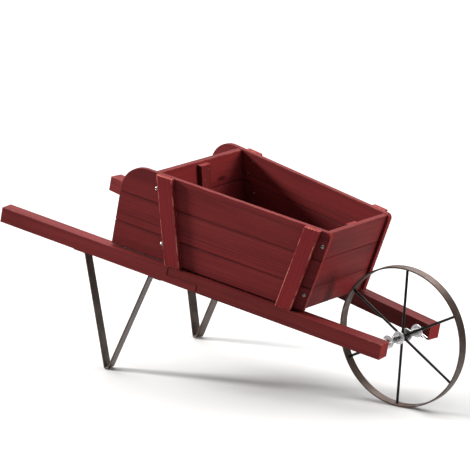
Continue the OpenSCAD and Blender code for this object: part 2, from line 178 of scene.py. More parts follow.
class Bench:
    """The node tree of one material, and the few ways in which this file adds to it."""

    def __init__(self, name: str) -> None:
        """Start a material with an empty tree.

        Args:
            name: The material's name.
        """
        self.material = bpy.data.materials.new(name)
        self.material.use_nodes = True
        self.tree = self.material.node_tree
        self.tree.nodes.clear()

    def node(
        self,
        kind: str,
        settings: Optional[dict[str, Any]] = None,
        inputs: Optional[dict[Union[int, str], Any]] = None,
        output: Union[int, str] = 0,
    ) -> Value:
        """Add a node.

        Args:
            kind: The node's type.
            settings: Its properties, set first; "stops" fills a colour ramp with (place, colour) pairs.
            inputs: A value or a link for each socket, by name or index.
            output: The output that is wanted.

        Returns:
            That output, wrapped.
        """
        made = self.tree.nodes.new(kind)
        for key, value in (settings or {}).items():
            if key == "stops":
                self._fill_ramp(made.color_ramp, value)
            else:
                setattr(made, key, value)
        for key, value in (inputs or {}).items():
            if isinstance(value, Value):
                self.tree.links.new(value.socket, made.inputs[key])
            else:
                made.inputs[key].default_value = value
        return Value(self, made.outputs[output]) if made.outputs else Value(self, made.inputs[0])

    @staticmethod
    def _fill_ramp(ramp: bpy.types.ColorRamp, stops: Sequence[tuple[float, Colour]]) -> None:
        """Give a ramp its stops.

        Args:
            ramp: The ramp.
            stops: Its (place, colour) pairs, in order.
        """
        while len(ramp.elements) < len(stops):
            ramp.elements.new(1.0)
        for element, (place, colour) in zip(ramp.elements, stops):
            element.position = place
            element.color = (*colour, 1.0)

    def stretched(self, vector: Value, scale: Sequence[float]) -> Value:
        """A vector multiplied axis by axis."""
        return self.node("ShaderNodeVectorMath", {"operation": "MULTIPLY"}, {0: vector, 1: tuple(scale)})

    def noise(self, vector: Value, scale: Sequence[float], detail: float = 2.0, rough: float = 0.5) -> Value:
        """Smooth noise over a vector, from 0 to 1.

        Args:
            vector: Where to read it.
            scale: Cells per metre along each axis.
            detail: Octaves.
            rough: Weight of the finer octaves.

        Returns:
            The noise.
        """
        return self.node(
            "ShaderNodeTexNoise",
            {"noise_dimensions": "3D"},
            {"Vector": self.stretched(vector, scale), "Scale": 1.0, "Detail": detail, "Roughness": rough},
        )

    def ramped(self, value: Number, low: float, high: float) -> Value:
        """A value taken smoothly from 0 at low to 1 at high.

        Args:
            value: The value.
            low: Where the result leaves 0.
            high: Where it reaches 1.

        Returns:
            The result, from 0 to 1.
        """
        return self.node(
            "ShaderNodeMapRange",
            {"interpolation_type": "SMOOTHSTEP"},
            {"Value": value, "From Min": low, "From Max": high},
        )

    def blend(self, share: Number, first: Union[Value, Colour], second: Union[Value, Colour]) -> Value:
        """A colour mixed from two.

        Args:
            share: How much of the second.
            first: The first colour.
            second: The second colour.

        Returns:
            The mixture.
        """
        sockets = {
            key: value if isinstance(value, Value) else (*value, 1.0)
            for key, value in ((6, first), (7, second))
        }
        return self.node("ShaderNodeMix", {"data_type": "RGBA"}, {0: share, **sockets}, 2)

    def surface(
        self,
        colour: Value,
        roughness: Value,
        height: Value,
        depth: float,
        constants: dict[str, float],
    ) -> bpy.types.Material:
        """Close the tree with one surface shader.

        Args:
            colour: Base colour.
            roughness: Roughness.
            height: Relief, from 0 to 1.
            depth: What a relief of 1 is worth, in metres.
            constants: Numbers for the shader's other sockets.

        Returns:
            The finished material.
        """
        relief = {"Strength": 1.0, "Distance": depth, "Height": height}
        bump = self.node("ShaderNodeBump", {}, relief, "Normal")
        shader = self.node(
            "ShaderNodeBsdfPrincipled",
            {},
            {"Base Color": colour, "Roughness": roughness, "Normal": bump, **constants},
        )
        self.node("ShaderNodeOutputMaterial", {}, {"Surface": shader})
        return self.material


@dataclass(frozen=True)
class StainedWood:
    """Softwood under a thin red stain, rubbed through on its arrises."""

    name: str
    slot: str
    stain: Colour
    dark: Colour
    worn: Colour
    bare: Colour
    rubbed: float = 0.6
    sawn: Colour = (0.135, 0.01, 0.0095)
    ring_gap: float = 0.0034
    knots: float = 0.22

    def material(self) -> bpy.types.Material:
        """The wood as a solid texture: rings round a pith, with fibres along it, and painted shade beside its
        seams.

        Returns:
            The material.
        """
        bench = Bench(self.name)
        grain = bench.node("ShaderNodeAttribute", {"attribute_name": "grain"}, output="Vector")
        wear = bench.node("ShaderNodeAttribute", {"attribute_name": "wear"}, output="Fac")
        sawn = bench.node("ShaderNodeAttribute", {"attribute_name": "sawn"}, output="Fac")
        late = self._rings(bench, grain)
        fibre = bench.noise(grain, (9.0, 420.0, 420.0), 3.0, 0.62)
        streak = bench.noise(grain, (2.2, 75.0, 75.0), 4.0, 0.6)
        blotch = bench.noise(grain, (4.0, 16.0, 16.0), 3.0)
        knot = self._knots(bench, grain)
        shade = bench.ramped(late * 0.3 + streak * 0.85 + fibre * 0.25, 0.42, 1.02)
        colour = bench.blend(shade, self.stain, self.dark)
        colour = bench.blend(bench.ramped(blotch, 0.46, 0.74) * 0.6, colour, self.dark)
        thin = bench.ramped(1.0 - blotch, 0.5, 0.75) * bench.ramped(fibre, 0.4, 0.7) * 0.45
        colour = bench.blend(thin, colour, self.worn)
        colour = bench.blend(sawn * (0.8 - late * 0.35), colour, self.sawn)
        colour = bench.blend(knot * 0.8, colour, tuple(0.3 * c for c in self.dark))
        chips = bench.noise(grain, (55.0, 240.0, 240.0), 3.0, 0.6)
        rub = bench.ramped(wear * 0.5 + chips, 0.88, 1.12) * self.rubbed
        # Painted shade in the seam grooves: arrises marked below zero, beside the plank seams and the lap,
        # are darkened towards the dark stain.
        painted_seam_shade = bench.ramped(wear * -1.0, 0.2, 0.9) * 0.3
        colour = bench.blend(rub, colour, self.bare)
        colour = bench.blend(painted_seam_shade, colour, tuple(0.4 * c for c in self.dark))
        rough = 0.44 + streak * 0.14 + rub * 0.2 - late * 0.05
        height = fibre * 0.6 + late * 0.25 - knot * 0.5 + rub * 0.3
        return bench.surface(colour, rough, height, 0.00035, {"Specular IOR Level": 0.05})

    def _rings(self, bench: Bench, grain: Value) -> Value:
        """Growth rings: 0 in the early wood, rising to 1 in each thin dark line.

        Args:
            bench: Where the nodes go.
            grain: Place in the tree.

        Returns:
            How late in the year the wood grew.
        """
        drift = bench.noise(grain, (1.7, 10.0, 10.0), 2.0) - 0.5
        sway = bench.noise(grain, (2.9, 15.0, 18.0), 2.0) - 0.5
        across = bench.node("ShaderNodeSeparateXYZ", {}, {0: grain}, "Y")
        wide = across + drift * 0.022
        deep = across.other("Z") + sway * 0.016
        radius = (wide * wide + deep * deep) ** 0.5
        season = bench.noise(bench.node("ShaderNodeCombineXYZ", {}, {0: radius}), (420.0, 1.0, 1.0), 1.0)
        turns = radius / self.ring_gap + season * 1.3
        ring = bench.node("ShaderNodeMath", {"operation": "FRACT"}, {0: turns})
        return ring**3.0 * (0.35 + season)

    def _knots(self, bench: Bench, grain: Value) -> Value:
        """A few small knots, 1 in the middle of each.

        Args:
            bench: Where the nodes go.
            grain: Place in the tree.

        Returns:
            How far into a knot each point is.
        """
        cells = bench.node(
            "ShaderNodeTexVoronoi",
            {"feature": "F1"},
            {"Vector": bench.stretched(grain, (4.6, 15.0, 6.0)), "Scale": 1.0},
            "Distance",
        )
        chosen = bench.node("ShaderNodeSeparateColor", {}, {0: cells.other("Color")}, "Red")
        few = bench.ramped(chosen, 1.0 - self.knots, 1.02 - self.knots)
        return (1.0 - bench.ramped(cells, 0.04, 0.1)) * few


@dataclass(frozen=True)
class PaintedIron:
    """Brown-grey paint on iron, brushed on thin, with rust at worn edges."""

    name: str
    slot: str
    paint: Colour
    rust: Colour
    rusted: float = 0.5

    def material(self) -> bpy.types.Material:
        """Paint with faint mottling, orange-peel relief and worn edges.

        Returns:
            The material.
        """
        bench = Bench(self.name)
        place = bench.node("ShaderNodeAttribute", {"attribute_name": "grain"}, output="Vector")
        worn = bench.node("ShaderNodeAttribute", {"attribute_name": "wear"}, output="Fac")
        mottle = bench.noise(place, (45.0, 45.0, 45.0), 4.0, 0.6)
        peel = bench.noise(place, (420.0, 420.0, 420.0), 2.0)
        pale = tuple(min(1.0, 1.5 * c + 0.01) for c in self.paint)
        colour = bench.blend(bench.ramped(mottle, 0.3, 0.75), self.paint, pale)
        chips = bench.noise(place, (130.0, 130.0, 130.0), 4.0, 0.65)
        rust = bench.ramped(worn * 0.4 + chips, 0.78, 1.0) * self.rusted
        colour = bench.blend(rust, colour, self.rust)
        rough = 0.31 + mottle * 0.12 + rust * 0.3
        height = peel * 0.3 + mottle * 0.3 - rust * 0.4
        return bench.surface(colour, rough, height, 0.00025, {"Metallic": 0.88})


@dataclass(frozen=True)
class BrightZinc:
    """Zinc-plated or galvanised steel."""

    name: str
    slot: str
    zinc: Colour
    smooth: float = 0.26

    def material(self) -> bpy.types.Material:
        """Plating with a fine spangle and dull patches.

        Returns:
            The material.
        """
        bench = Bench(self.name)
        place = bench.node("ShaderNodeAttribute", {"attribute_name": "grain"}, output="Vector")
        spangle = bench.node(
            "ShaderNodeTexVoronoi",
            {"feature": "F1"},
            {"Vector": bench.stretched(place, (700.0, 700.0, 700.0)), "Scale": 1.0},
            "Distance",
        )
        tarnish = bench.noise(place, (160.0, 160.0, 160.0), 4.0, 0.6)
        dull = tuple(0.62 * c for c in self.zinc)
        colour = bench.blend(bench.ramped(tarnish, 0.45, 0.8) * 0.7 + spangle * 0.15, self.zinc, dull)
        rough = self.smooth + tarnish * 0.22
        return bench.surface(colour, rough, spangle * 0.3 + tarnish * 0.4, 0.00008, {"Metallic": 1.0})


Finish = Union[StainedWood, PaintedIron, BrightZinc]


class Finishes:
    """Every finish on the barrow, each made into a material once."""

    SHAFT = StainedWood(
        name="shaft_stain",
        slot="shaft_wood",
        stain=(0.112, 0.0145, 0.0145),
        dark=(0.062, 0.008, 0.0085),
        worn=(0.15, 0.025, 0.022),
        bare=(0.27, 0.085, 0.062),
        rubbed=0.38,
    )
    ARM = StainedWood(
        name="arm_stain",
        slot="shaft_wood",
        stain=(0.088, 0.0115, 0.0115),
        dark=(0.046, 0.006, 0.0065),
        worn=(0.12, 0.02, 0.018),
        bare=(0.25, 0.08, 0.058),
        rubbed=0.36,
    )
    PLANK = StainedWood(
        name="plank_stain",
        slot="plank_wood",
        stain=(0.104, 0.0115, 0.012),
        dark=(0.048, 0.006, 0.007),
        worn=(0.14, 0.023, 0.021),
        bare=(0.2, 0.062, 0.047),
        rubbed=0.3,
    )
    BATTEN = StainedWood(
        name="batten_stain",
        slot="batten_wood",
        stain=(0.12, 0.0105, 0.012),
        dark=(0.066, 0.006, 0.0075),
        worn=(0.16, 0.02, 0.019),
        bare=(0.36, 0.13, 0.095),
        rubbed=0.7,
    )
    INNER = StainedWood(
        name="inner_stain",
        slot="inner_wood",
        stain=(0.085, 0.0105, 0.0105),
        dark=(0.045, 0.006, 0.006),
        worn=(0.11, 0.02, 0.017),
        bare=(0.2, 0.062, 0.047),
        rubbed=0.25,
    )
    STRAP = PaintedIron("strap_paint", "strap_iron", (0.062, 0.046, 0.039), (0.085, 0.036, 0.022), 0.35)
    RIM = PaintedIron("rim_paint", "wheel_iron", (0.071, 0.055, 0.047), (0.095, 0.04, 0.025), 0.4)
    SPOKE = PaintedIron("spoke_paint", "wheel_iron", (0.012, 0.01, 0.009), (0.05, 0.022, 0.013), 0.3)
    AXLE = BrightZinc("axle_zinc", "axle_steel", (0.035, 0.034, 0.033), 0.3)
    SPRING = BrightZinc("coil_zinc", "spring_zinc", (0.46, 0.46, 0.47), 0.14)
    WASHER = BrightZinc("washer_zinc", "spring_zinc", (0.86, 0.86, 0.87), 0.4)
    SCREW = BrightZinc("screw_zinc", "screw_zinc", (0.32, 0.31, 0.3), 0.18)
    NAIL = BrightZinc("nail_steel", "nail_steel", (0.24, 0.23, 0.22), 0.36)

    _made: dict[str, bpy.types.Material] = {}

    @classmethod
    def of(cls, finish: Finish) -> bpy.types.Material:
        """The material of a finish, made on first use.

        Args:
            finish: The finish.

        Returns:
            Its material.
        """
        if finish.name not in cls._made:
            cls._made[finish.name] = finish.material()
        return cls._made[finish.name]


# ---- shapes --------------------------------------------------------------------------------------


def arc(centre: Flat, radius: float, start: float, stop: float, steps: int) -> list[Flat]:
    """Points along an arc.

    Args:
        centre: Its centre.
        radius: Its radius.
        start: First angle, in degrees.
        stop: Last angle, in degrees.
        steps: Number of chords.

    Returns:
        The points.
    """
    angles = [math.radians(start + (stop - start) * i / steps) for i in range(steps + 1)]
    return [(centre[0] + radius * math.cos(a), centre[1] + radius * math.sin(a)) for a in angles]


def band(outline: Sequence[Flat], low: float, high: float) -> list[Flat]:
    """The part of a convex outline between two heights.

    Args:
        outline: The outline.
        low: Lower limit of its second coordinate.
        high: Upper limit.

    Returns:
        The outline of the part.
    """
    kept = list(outline)
    for limit, sign in ((low, 1.0), (high, -1.0)):
        cut: list[Flat] = []
        for a, b in zip(kept, kept[1:] + kept[:1]):
            da, db = sign * (a[1] - limit), sign * (b[1] - limit)
            if da >= 0:
                cut.append(a)
            if da * db < 0:
                t = da / (da - db)
                cut.append((a[0] + t * (b[0] - a[0]), limit))
        kept = cut
    return kept


def rounded_bar(width: float, height: float, radius: float, steps: int = 3) -> list[Flat]:
    """Outline of a flat bar with rounded edges, anticlockwise about its centre.

    Args:
        width: Size along the first axis.
        height: Size along the second.
        radius: Radius of the edges.
        steps: Number of chords in each edge.

    Returns:
        The outline.
    """
    x, y = width / 2 - radius, height / 2 - radius
    corners = ((x, y, 0.0), (-x, y, 90.0), (-x, -y, 180.0), (x, -y, 270.0))
    return [p for cx, cy, a in corners for p in arc((cx, cy), radius, a, a + 90.0, steps)]


class Solid:
    """A closed mesh in its own frame, with wear, painted seam shade and a place in the grain at each corner.
    """

    def __init__(self) -> None:
        """Start with nothing."""
        self.bm = bmesh.new()
        # This layer holds wear, and painted seam shade as values below zero.
        self.bm.verts.layers.float.new("wear")
        self.bm.verts.layers.float_vector.new("grain")
        self.bm.verts.layers.float.new("sawn")

    def _loft(self, rings: Sequence[Sequence[bmesh.types.BMVert]], closed: bool) -> None:
        """Skin rings of corners; the two ends are capped unless the rings close on themselves.

        Args:
            rings: The rings, with as many corners each.
            closed: Whether the last ring joins the first.
        """
        count = len(rings[0])
        pairs = list(zip(rings, rings[1:])) + ([(rings[-1], rings[0])] if closed else [])
        for low, high in pairs:
            for i in range(count):
                j = (i + 1) % count
                self.bm.faces.new((low[i], low[j], high[j], high[i]))
        if not closed:
            self.bm.faces.new(list(reversed(rings[0])))
            self.bm.faces.new(list(rings[-1]))

    def prism(self, outline: Sequence[Flat], depth: float) -> "Solid":
        """Add an outline drawn in XY and carried up by depth."""
        self._loft([[self.bm.verts.new((x, y, z)) for x, y in outline] for z in (0.0, depth)], False)
        return self

    def span(self, section: Sequence[Flat], half: Callable[[float, float], float]) -> "Solid":
        """Add a section drawn in XZ and carried to both sides along Y.

        Args:
            section: The corners of the section.
            half: How far each corner reaches from the middle, from its x and z.

        Returns:
            This solid.
        """
        self._loft(
            [[self.bm.verts.new((x, s * half(x, z), z)) for x, z in section] for s in (-1.0, 1.0)], False
        )
        return self

    def lathe(self, profile: Sequence[Flat], steps: int, closed: bool = True) -> "Solid":
        """Turn a profile of (radius, height) about Z.

        Args:
            profile: Its points; one that isn't closed starts and ends on the axis.
            steps: Number of flats round the axis.
            closed: Whether the profile is a loop away from the axis.

        Returns:
            This solid.
        """
        turns = [2 * math.pi * k / steps for k in range(steps)]
        rows = [
            [self.bm.verts.new((r * math.cos(t), r * math.sin(t), z)) for t in turns] for r, z in profile
        ]
        for low, high in list(zip(rows, rows[1:])) + ([(rows[-1], rows[0])] if closed else []):
            for i in range(steps):
                j = (i + 1) % steps
                self.bm.faces.new((low[i], low[j], high[j], high[i]))
        if not closed:
            bmesh.ops.remove_doubles(self.bm, verts=rows[0] + rows[-1], dist=1e-7)
        return self

    def sweep(
        self,
        stations: Sequence[tuple[Vector, Vector, Vector]],
        section: Sequence[Flat],
        wear: Optional[Sequence[float]] = None,
    ) -> "Solid":
        """Carry a section along stations.

        Args:
            stations: A centre and the section's two directions at each stop.
            section: The section's points.
            wear: The wear of each of the section's points.

        Returns:
            This solid.
        """
        layer = self.bm.verts.layers.float["wear"]
        rings = []
        for centre, first, second in stations:
            ring = [self.bm.verts.new(centre + first * a + second * b) for a, b in section]
            for vert, value in zip(ring, wear or [0.0] * len(ring)):
                vert[layer] = value
            rings.append(ring)
        self._loft(rings, False)
        return self

    def ease(self, arris: float, fade: float) -> "Solid":
        """Round the edges over and mark how worn they are.

        Args:
            arris: Width of the rounding.
            fade: How far the wear reaches in from it.

        Returns:
            This solid.
        """
        bmesh.ops.recalc_face_normals(self.bm, faces=self.bm.faces)
        sharp = [e for e in self.bm.edges if e.calc_face_angle(0.0) > SHARP_EDGE]
        made = bmesh.ops.bevel(
            self.bm,
            geom=sharp,
            offset=arris,
            offset_type="OFFSET",
            segments=3,
            profile=0.5,
            affect="EDGES",
            clamp_overlap=True,
        )
        rounded = set(made["faces"])
        flats = [f for f in self.bm.faces if f not in rounded]
        bmesh.ops.inset_region(self.bm, faces=flats, thickness=fade, use_even_offset=True, use_boundary=True)
        layer = self.bm.verts.layers.float["wear"]
        for vert in self.bm.verts:
            vert[layer] = 1.0
        for face in flats:
            for vert in face.verts:
                vert[layer] = 0.0
        return self

    def soil(self, axis: int, seams: Sequence[float], reach: float) -> "Solid":
        """Mark the arrises beside seams for painted shade, not wear.

        Args:
            axis: The axis that crosses the seams.
            seams: Their places along it.
            reach: How far from a seam an arris may be.

        Returns:
            This solid.
        """
        layer = self.bm.verts.layers.float["wear"]
        for vert in self.bm.verts:
            if vert[layer] > 0 and any(abs(vert.co[axis] - seam) < reach for seam in seams):
                vert[layer] = -1.0
        return self

    def cut_from(self, tree: random.Random, along: Along = Along.X) -> "Solid":
        """Note where each corner sits in the tree that the piece came from.

        Args:
            tree: Picks how far from the pith it was cut, and on which side.
            along: The axis that the grain runs along.

        Returns:
            This solid.
        """
        away, turn = tree.uniform(0.03, 0.085), tree.uniform(0.0, 2 * math.pi)
        start = Vector((tree.uniform(-4.0, 4.0), away * math.cos(turn), away * math.sin(turn)))
        layer, sawn = self.bm.verts.layers.float_vector["grain"], self.bm.verts.layers.float["sawn"]
        self.bm.normal_update()
        for face in self.bm.faces:
            if abs(face.normal[along.value[0]]) > SAWN_FACE:
                for vert in face.verts:
                    vert[sawn] = 1.0
        for vert in self.bm.verts:
            vert[layer] = Vector([vert.co[axis] for axis in along.value]) + start
        return self

    def stand(self, place: Matrix) -> "Solid":
        """Move everything made so far into place; a mirrored place turns the faces back out.

        Args:
            place: The place.

        Returns:
            This solid.
        """
        bmesh.ops.transform(self.bm, matrix=place, verts=self.bm.verts)
        if place.determinant() < 0:
            bmesh.ops.reverse_faces(self.bm, faces=self.bm.faces)
        return self

    def take(self, other: "Solid") -> "Solid":
        """Add another solid's shells to this one and free it.

        Args:
            other: The other solid.

        Returns:
            This solid.
        """
        mesh = bpy.data.meshes.new("part")
        other.bm.to_mesh(mesh)
        self.bm.from_mesh(mesh)
        bpy.data.meshes.remove(mesh)
        other.bm.free()
        return self

    def piece(
        self, name: str, finish: Finish, nodes: Iterable[str], body: Body = Body.BARROW, soft: float = 32.0
    ) -> bpy.types.Object:
        """Turn the solid into a finished piece that stands for CAD nodes.

        Args:
            name: The piece's name.
            finish: What it is finished with.
            nodes: The CAD nodes that it replaces.
            body: The body that it moves with.
            soft: Edges under this angle shade smoothly, in degrees.

        Returns:
            The new object.
        """
        mesh = bpy.data.meshes.new(name)
        bmesh.ops.recalc_face_normals(self.bm, faces=self.bm.faces)
        self.bm.to_mesh(mesh)
        self.bm.free()
        mesh.polygons.foreach_set("use_smooth", [True] * len(mesh.polygons))
        mesh.set_sharp_from_angle(angle=math.radians(soft))
        mesh.materials.append(Finishes.of(finish))
        made = bpy.data.objects.new(name, mesh)
        bpy.context.scene.collection.objects.link(made)
        weights = made.modifiers.new("weights", "WEIGHTED_NORMAL")
        weights.keep_sharp = True
        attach(made, body.value)
        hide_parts(*nodes)
        log.info("%s: %d faces", name, len(mesh.polygons))
        return made


def seed_of(name: str) -> random.Random:
    """A source of chance that depends only on a piece's name."""
    return random.Random(sum((i + 1) * ord(c) for i, c in enumerate(name)))


# ---- the barrow's frame --------------------------------------------------------------------------


@dataclass(frozen=True)
class Layout:
    """Where the shafts lie; every other piece is placed from them."""

    shaft_l: float = 840 * MM
    shaft_w: float = 30 * MM
    handle_gap: float = 349 * MM
    axle_gap: float = 176 * MM
    tilt: float = math.radians(10.3)
    axle_inset: float = 17 * MM
    axle_rise: float = 3.5 * MM
    wheel_r: float = 133 * MM

    @property
    def axle_u(self) -> float:
        """Distance along a shaft from its handle end to the axle."""
        return self.shaft_l - self.axle_inset

    @property
    def taper(self) -> float:
        """Angle of each shaft to the middle, seen from above."""
        return math.asin((self.handle_gap - self.axle_gap) / 2 / self.axle_u)

    @property
    def axle_x(self) -> float:
        """Place of the axle along X, with the whole barrow centred over the origin.

        Returns:
            The place, in metres.
        """
        half, drop = self.shaft_w / 2, self.shaft_w / 2 + self.axle_rise
        back = self.axle_u * math.cos(self.taper) + half * math.sin(self.taper)
        rear = -math.cos(self.tilt) * back - math.sin(self.tilt) * drop
        return -(self.wheel_r + rear) / 2

    @property
    def inner_y(self) -> float:
        """Distance from the middle to a shaft's inner face, along the axle."""
        return self.axle_gap / 2 - self.shaft_w / 2 / math.cos(self.taper)

    def chassis(self) -> Matrix:
        """The sloping frame of the shafts."""
        return (
            Matrix.Translation((self.axle_x, 0.0, self.wheel_r))
            @ Matrix.Rotation(self.tilt, 4, "Y")
            @ Matrix.Translation((0.0, 0.0, -self.axle_rise))
        )

    def along_shaft(self, side: Side) -> Matrix:
        """The frame of one shaft.

        Args:
            side: The shaft's side.

        Returns:
            Its x runs from the handle end, its y inwards from the centre line, its z up from the top.
        """
        mirror = Matrix.Diagonal((1.0, -float(side.value), 1.0, 1.0))
        return (
            self.chassis()
            @ mirror
            @ Matrix.Translation((0.0, -self.axle_gap / 2, 0.0))
            @ Matrix.Rotation(self.taper, 4, "Z")
            @ Matrix.Translation((-self.axle_u, 0.0, self.shaft_w / 2))
        )

    def along_middle(self) -> Matrix:
        """The frame of the centre line: x from the handle ends, z up from the shafts' tops."""
        return self.chassis() @ Matrix.Translation(
            (-self.axle_u * math.cos(self.taper), 0.0, self.shaft_w / 2)
        )

    def along_axle(self, side: Side) -> Matrix:
        """The frame of the axle: z from the middle towards a side."""
        turn = math.radians(90.0 if side is Side.RIGHT else -90.0)
        return Matrix.Translation((self.axle_x, 0.0, self.wheel_r)) @ Matrix.Rotation(turn, 4, "X")

    def ground_v(self, u: float, z: float) -> float:
        """Height over a shaft's top, a distance u along it, that is z above the ground."""
        rise = (u - self.axle_u) * math.cos(self.taper) * math.sin(self.tilt)
        return (z - self.wheel_r + rise) / math.cos(self.tilt) + self.axle_rise - self.shaft_w / 2


UPRIGHT = Matrix.Rotation(math.radians(90.0), 4, "X")
UPSIDE_DOWN = Matrix.Rotation(math.radians(180.0), 4, "X")


# ---- fasteners -----------------------------------------------------------------------------------


@dataclass(frozen=True)
class Fastener:
    """A screw or a nail, pointing down from the face that its head lies on."""

    head: Head
    length: float
    head_d: float = 8 * MM
    head_h: float = 2.4 * MM
    shank_d: float = 4 * MM
    recess: float = 1.1 * MM

    def _crown(self, x: float, y: float) -> float:
        """Height of the head's top at a point, with its cross recess.

        Args:
            x: The point's distance along one arm of the cross.
            y: Its distance along the other.

        Returns:
            The height over the seat.
        """
        r, rim = math.hypot(x, y), self.head_d / 2
        if self.head is Head.SUNK:
            top = 0.12 * MM
        else:
            ball = (rim**2 + self.head_h**2) / (2 * self.head_h)
            top = math.sqrt(max(ball**2 - r**2, 0.0)) - (ball - self.head_h)
        if self.head is Head.NAIL:
            return top
        arm, wide = 0.31 * self.head_d, 0.075 * self.head_d
        inside = min(max(wide - min(abs(x), abs(y)), -wide), wide) / wide
        reach = min(max((arm - max(abs(x), abs(y))) / (0.2 * arm), 0.0), 1.0)
        return top - self.recess * min(max(inside * 2.5 + 0.4, 0.0), 1.0) * reach

    def _shape(self) -> Solid:
        """The whole fastener: fine rings of corners on its head, and a plain shank that ends in a point.

        Returns:
            The fastener, its head's seat at the origin.
        """
        solid, rings, steps = Solid(), 12, 40
        if self.head is Head.NAIL:
            rings, steps = 4, 16
        rows = []
        for j in range(1, rings + 1):
            r = self.head_d / 2 * j / rings
            turns = [2 * math.pi * k / steps for k in range(steps)]
            rows.append([(r * math.cos(t), r * math.sin(t)) for t in turns])
        middle = solid.bm.verts.new((0.0, 0.0, self._crown(0.0, 0.0)))
        loops = [[solid.bm.verts.new((x, y, self._crown(x, y))) for x, y in row] for row in rows]
        for i in range(steps):
            j = (i + 1) % steps
            solid.bm.faces.new((middle, loops[0][i], loops[0][j]))
            for low, high in zip(loops, loops[1:]):
                solid.bm.faces.new((low[i], high[i], high[j], low[j]))
        under = -0.85 * self.head_h if self.head is Head.SUNK else 0.0
        small = self.shank_d / 2
        below = [small, small, 0.12 * small]
        levels = [under, -self.length + 1.5 * self.shank_d, -self.length]
        last = loops[-1]
        for radius, level in zip(below, levels):
            ring = [
                solid.bm.verts.new((radius * math.cos(t), radius * math.sin(t), level))
                for t in (2 * math.pi * k / steps for k in range(steps))
            ]
            for i in range(steps):
                j = (i + 1) % steps
                solid.bm.faces.new((last[i], ring[i], ring[j], last[j]))
            last = ring
        solid.bm.faces.new(list(reversed(last)))
        return solid

    def group(
        self, name: str, places: Sequence[Matrix], finish: Finish, nodes: Iterable[str]
    ) -> bpy.types.Object:
        """Make one piece of several fasteners, each turned by chance.

        Args:
            name: The piece's name.
            places: Where each one goes, its head's seat at the origin.
            finish: What they are finished with.
            nodes: The CAD nodes that they stand for.

        Returns:
            The new object.
        """
        chance, whole = seed_of(name), Solid()
        for place in places:
            turn = Matrix.Rotation(chance.uniform(0.0, math.pi), 4, "Z")
            whole.take(self._shape().cut_from(chance).stand(place @ turn))
        return whole.piece(name, finish, nodes, soft=SOFT_METAL)


# ---- sub-assemblies ------------------------------------------------------------------------------


@dataclass
class Shafts:
    """Two square shafts, each of a handle piece and a front piece joined by a half lap."""

    lay: Layout
    lap_start: float = 378 * MM
    lap_l: float = 66 * MM
    lap_gap: float = 1.2 * MM
    lap_screw_shares: Flat = (0.38, 0.8)
    lap_screw_margin: float = 4 * MM
    arris: float = 0.9 * MM
    fade: float = 2.4 * MM

    def build(self) -> None:
        """Make both shafts and the screws in their laps."""
        for side in Side:
            self._handle(side)
            self._front(side)
            self._lap_screws(side)

    def _bar(self, side: Side, outline: Sequence[Flat], name: str, node: str, finish: Finish) -> None:
        """Cut one piece of a shaft from its side outline.

        Args:
            side: The side.
            outline: Its outline, seen from the side.
            name: The piece's name.
            node: The CAD node that it replaces.
            finish: What it is finished with.
        """
        w = self.lay.shaft_w
        place = self.lay.along_shaft(side) @ Matrix.Translation((0.0, w / 2, 0.0)) @ UPRIGHT
        solid = Solid().prism(outline, w).ease(self.arris, self.fade)
        ends = [self.lap_start, self.lap_start + self.lap_l]
        # Painted shade on the arrises beside the lap's two ends.
        solid.soil(0, ends, 2 * self.lap_gap + self.arris).cut_from(seed_of(name))
        solid.stand(place).piece(name, finish, [node])

    def _handle(self, side: Side) -> None:
        """The piece that is held, with its tongue in the lower half of the lap.

        Args:
            side: The side.
        """
        w, end = self.lay.shaft_w, self.lap_start + self.lap_l
        tongue = [(end, -w), (end, -w / 2), (self.lap_start, -w / 2), (self.lap_start, 0.0)]
        outline = [(0.0, -w), *tongue, (0.0, 0.0)]
        self._bar(side, outline, f"handle_{side.word}", f"shaft_handle_{side.word}", Finishes.SHAFT)

    def _front(self, side: Side) -> None:
        """The piece that carries the axle, with its tongue in the upper half of the lap.

        Args:
            side: The side.
        """
        w, start = self.lay.shaft_w, self.lap_start + self.lap_gap
        end, tip = self.lap_start + self.lap_l + self.lap_gap, self.lay.shaft_l
        outline = [(start, -w / 2), (end, -w / 2), (end, -w), (tip, -w), (tip, 0.0), (start, 0.0)]
        self._bar(side, outline, f"wheel_arm_{side.word}", f"shaft_front_{side.word}", Finishes.ARM)

    def _lap_screws(self, side: Side) -> None:
        """Two sunk screws up through a lap.

        Args:
            side: The side.
        """
        places = [
            self.lay.along_shaft(side)
            @ Matrix.Translation((self.lap_start + share * self.lap_l, 0.0, -self.lay.shaft_w))
            @ UPSIDE_DOWN
            for share in self.lap_screw_shares
        ]
        screw = Fastener(Head.SUNK, self.lay.shaft_w - self.lap_screw_margin)
        screw.group(f"lap_screw_pair_{side.word}", places, Finishes.SCREW, [f"lap_screws_{side.word}"])


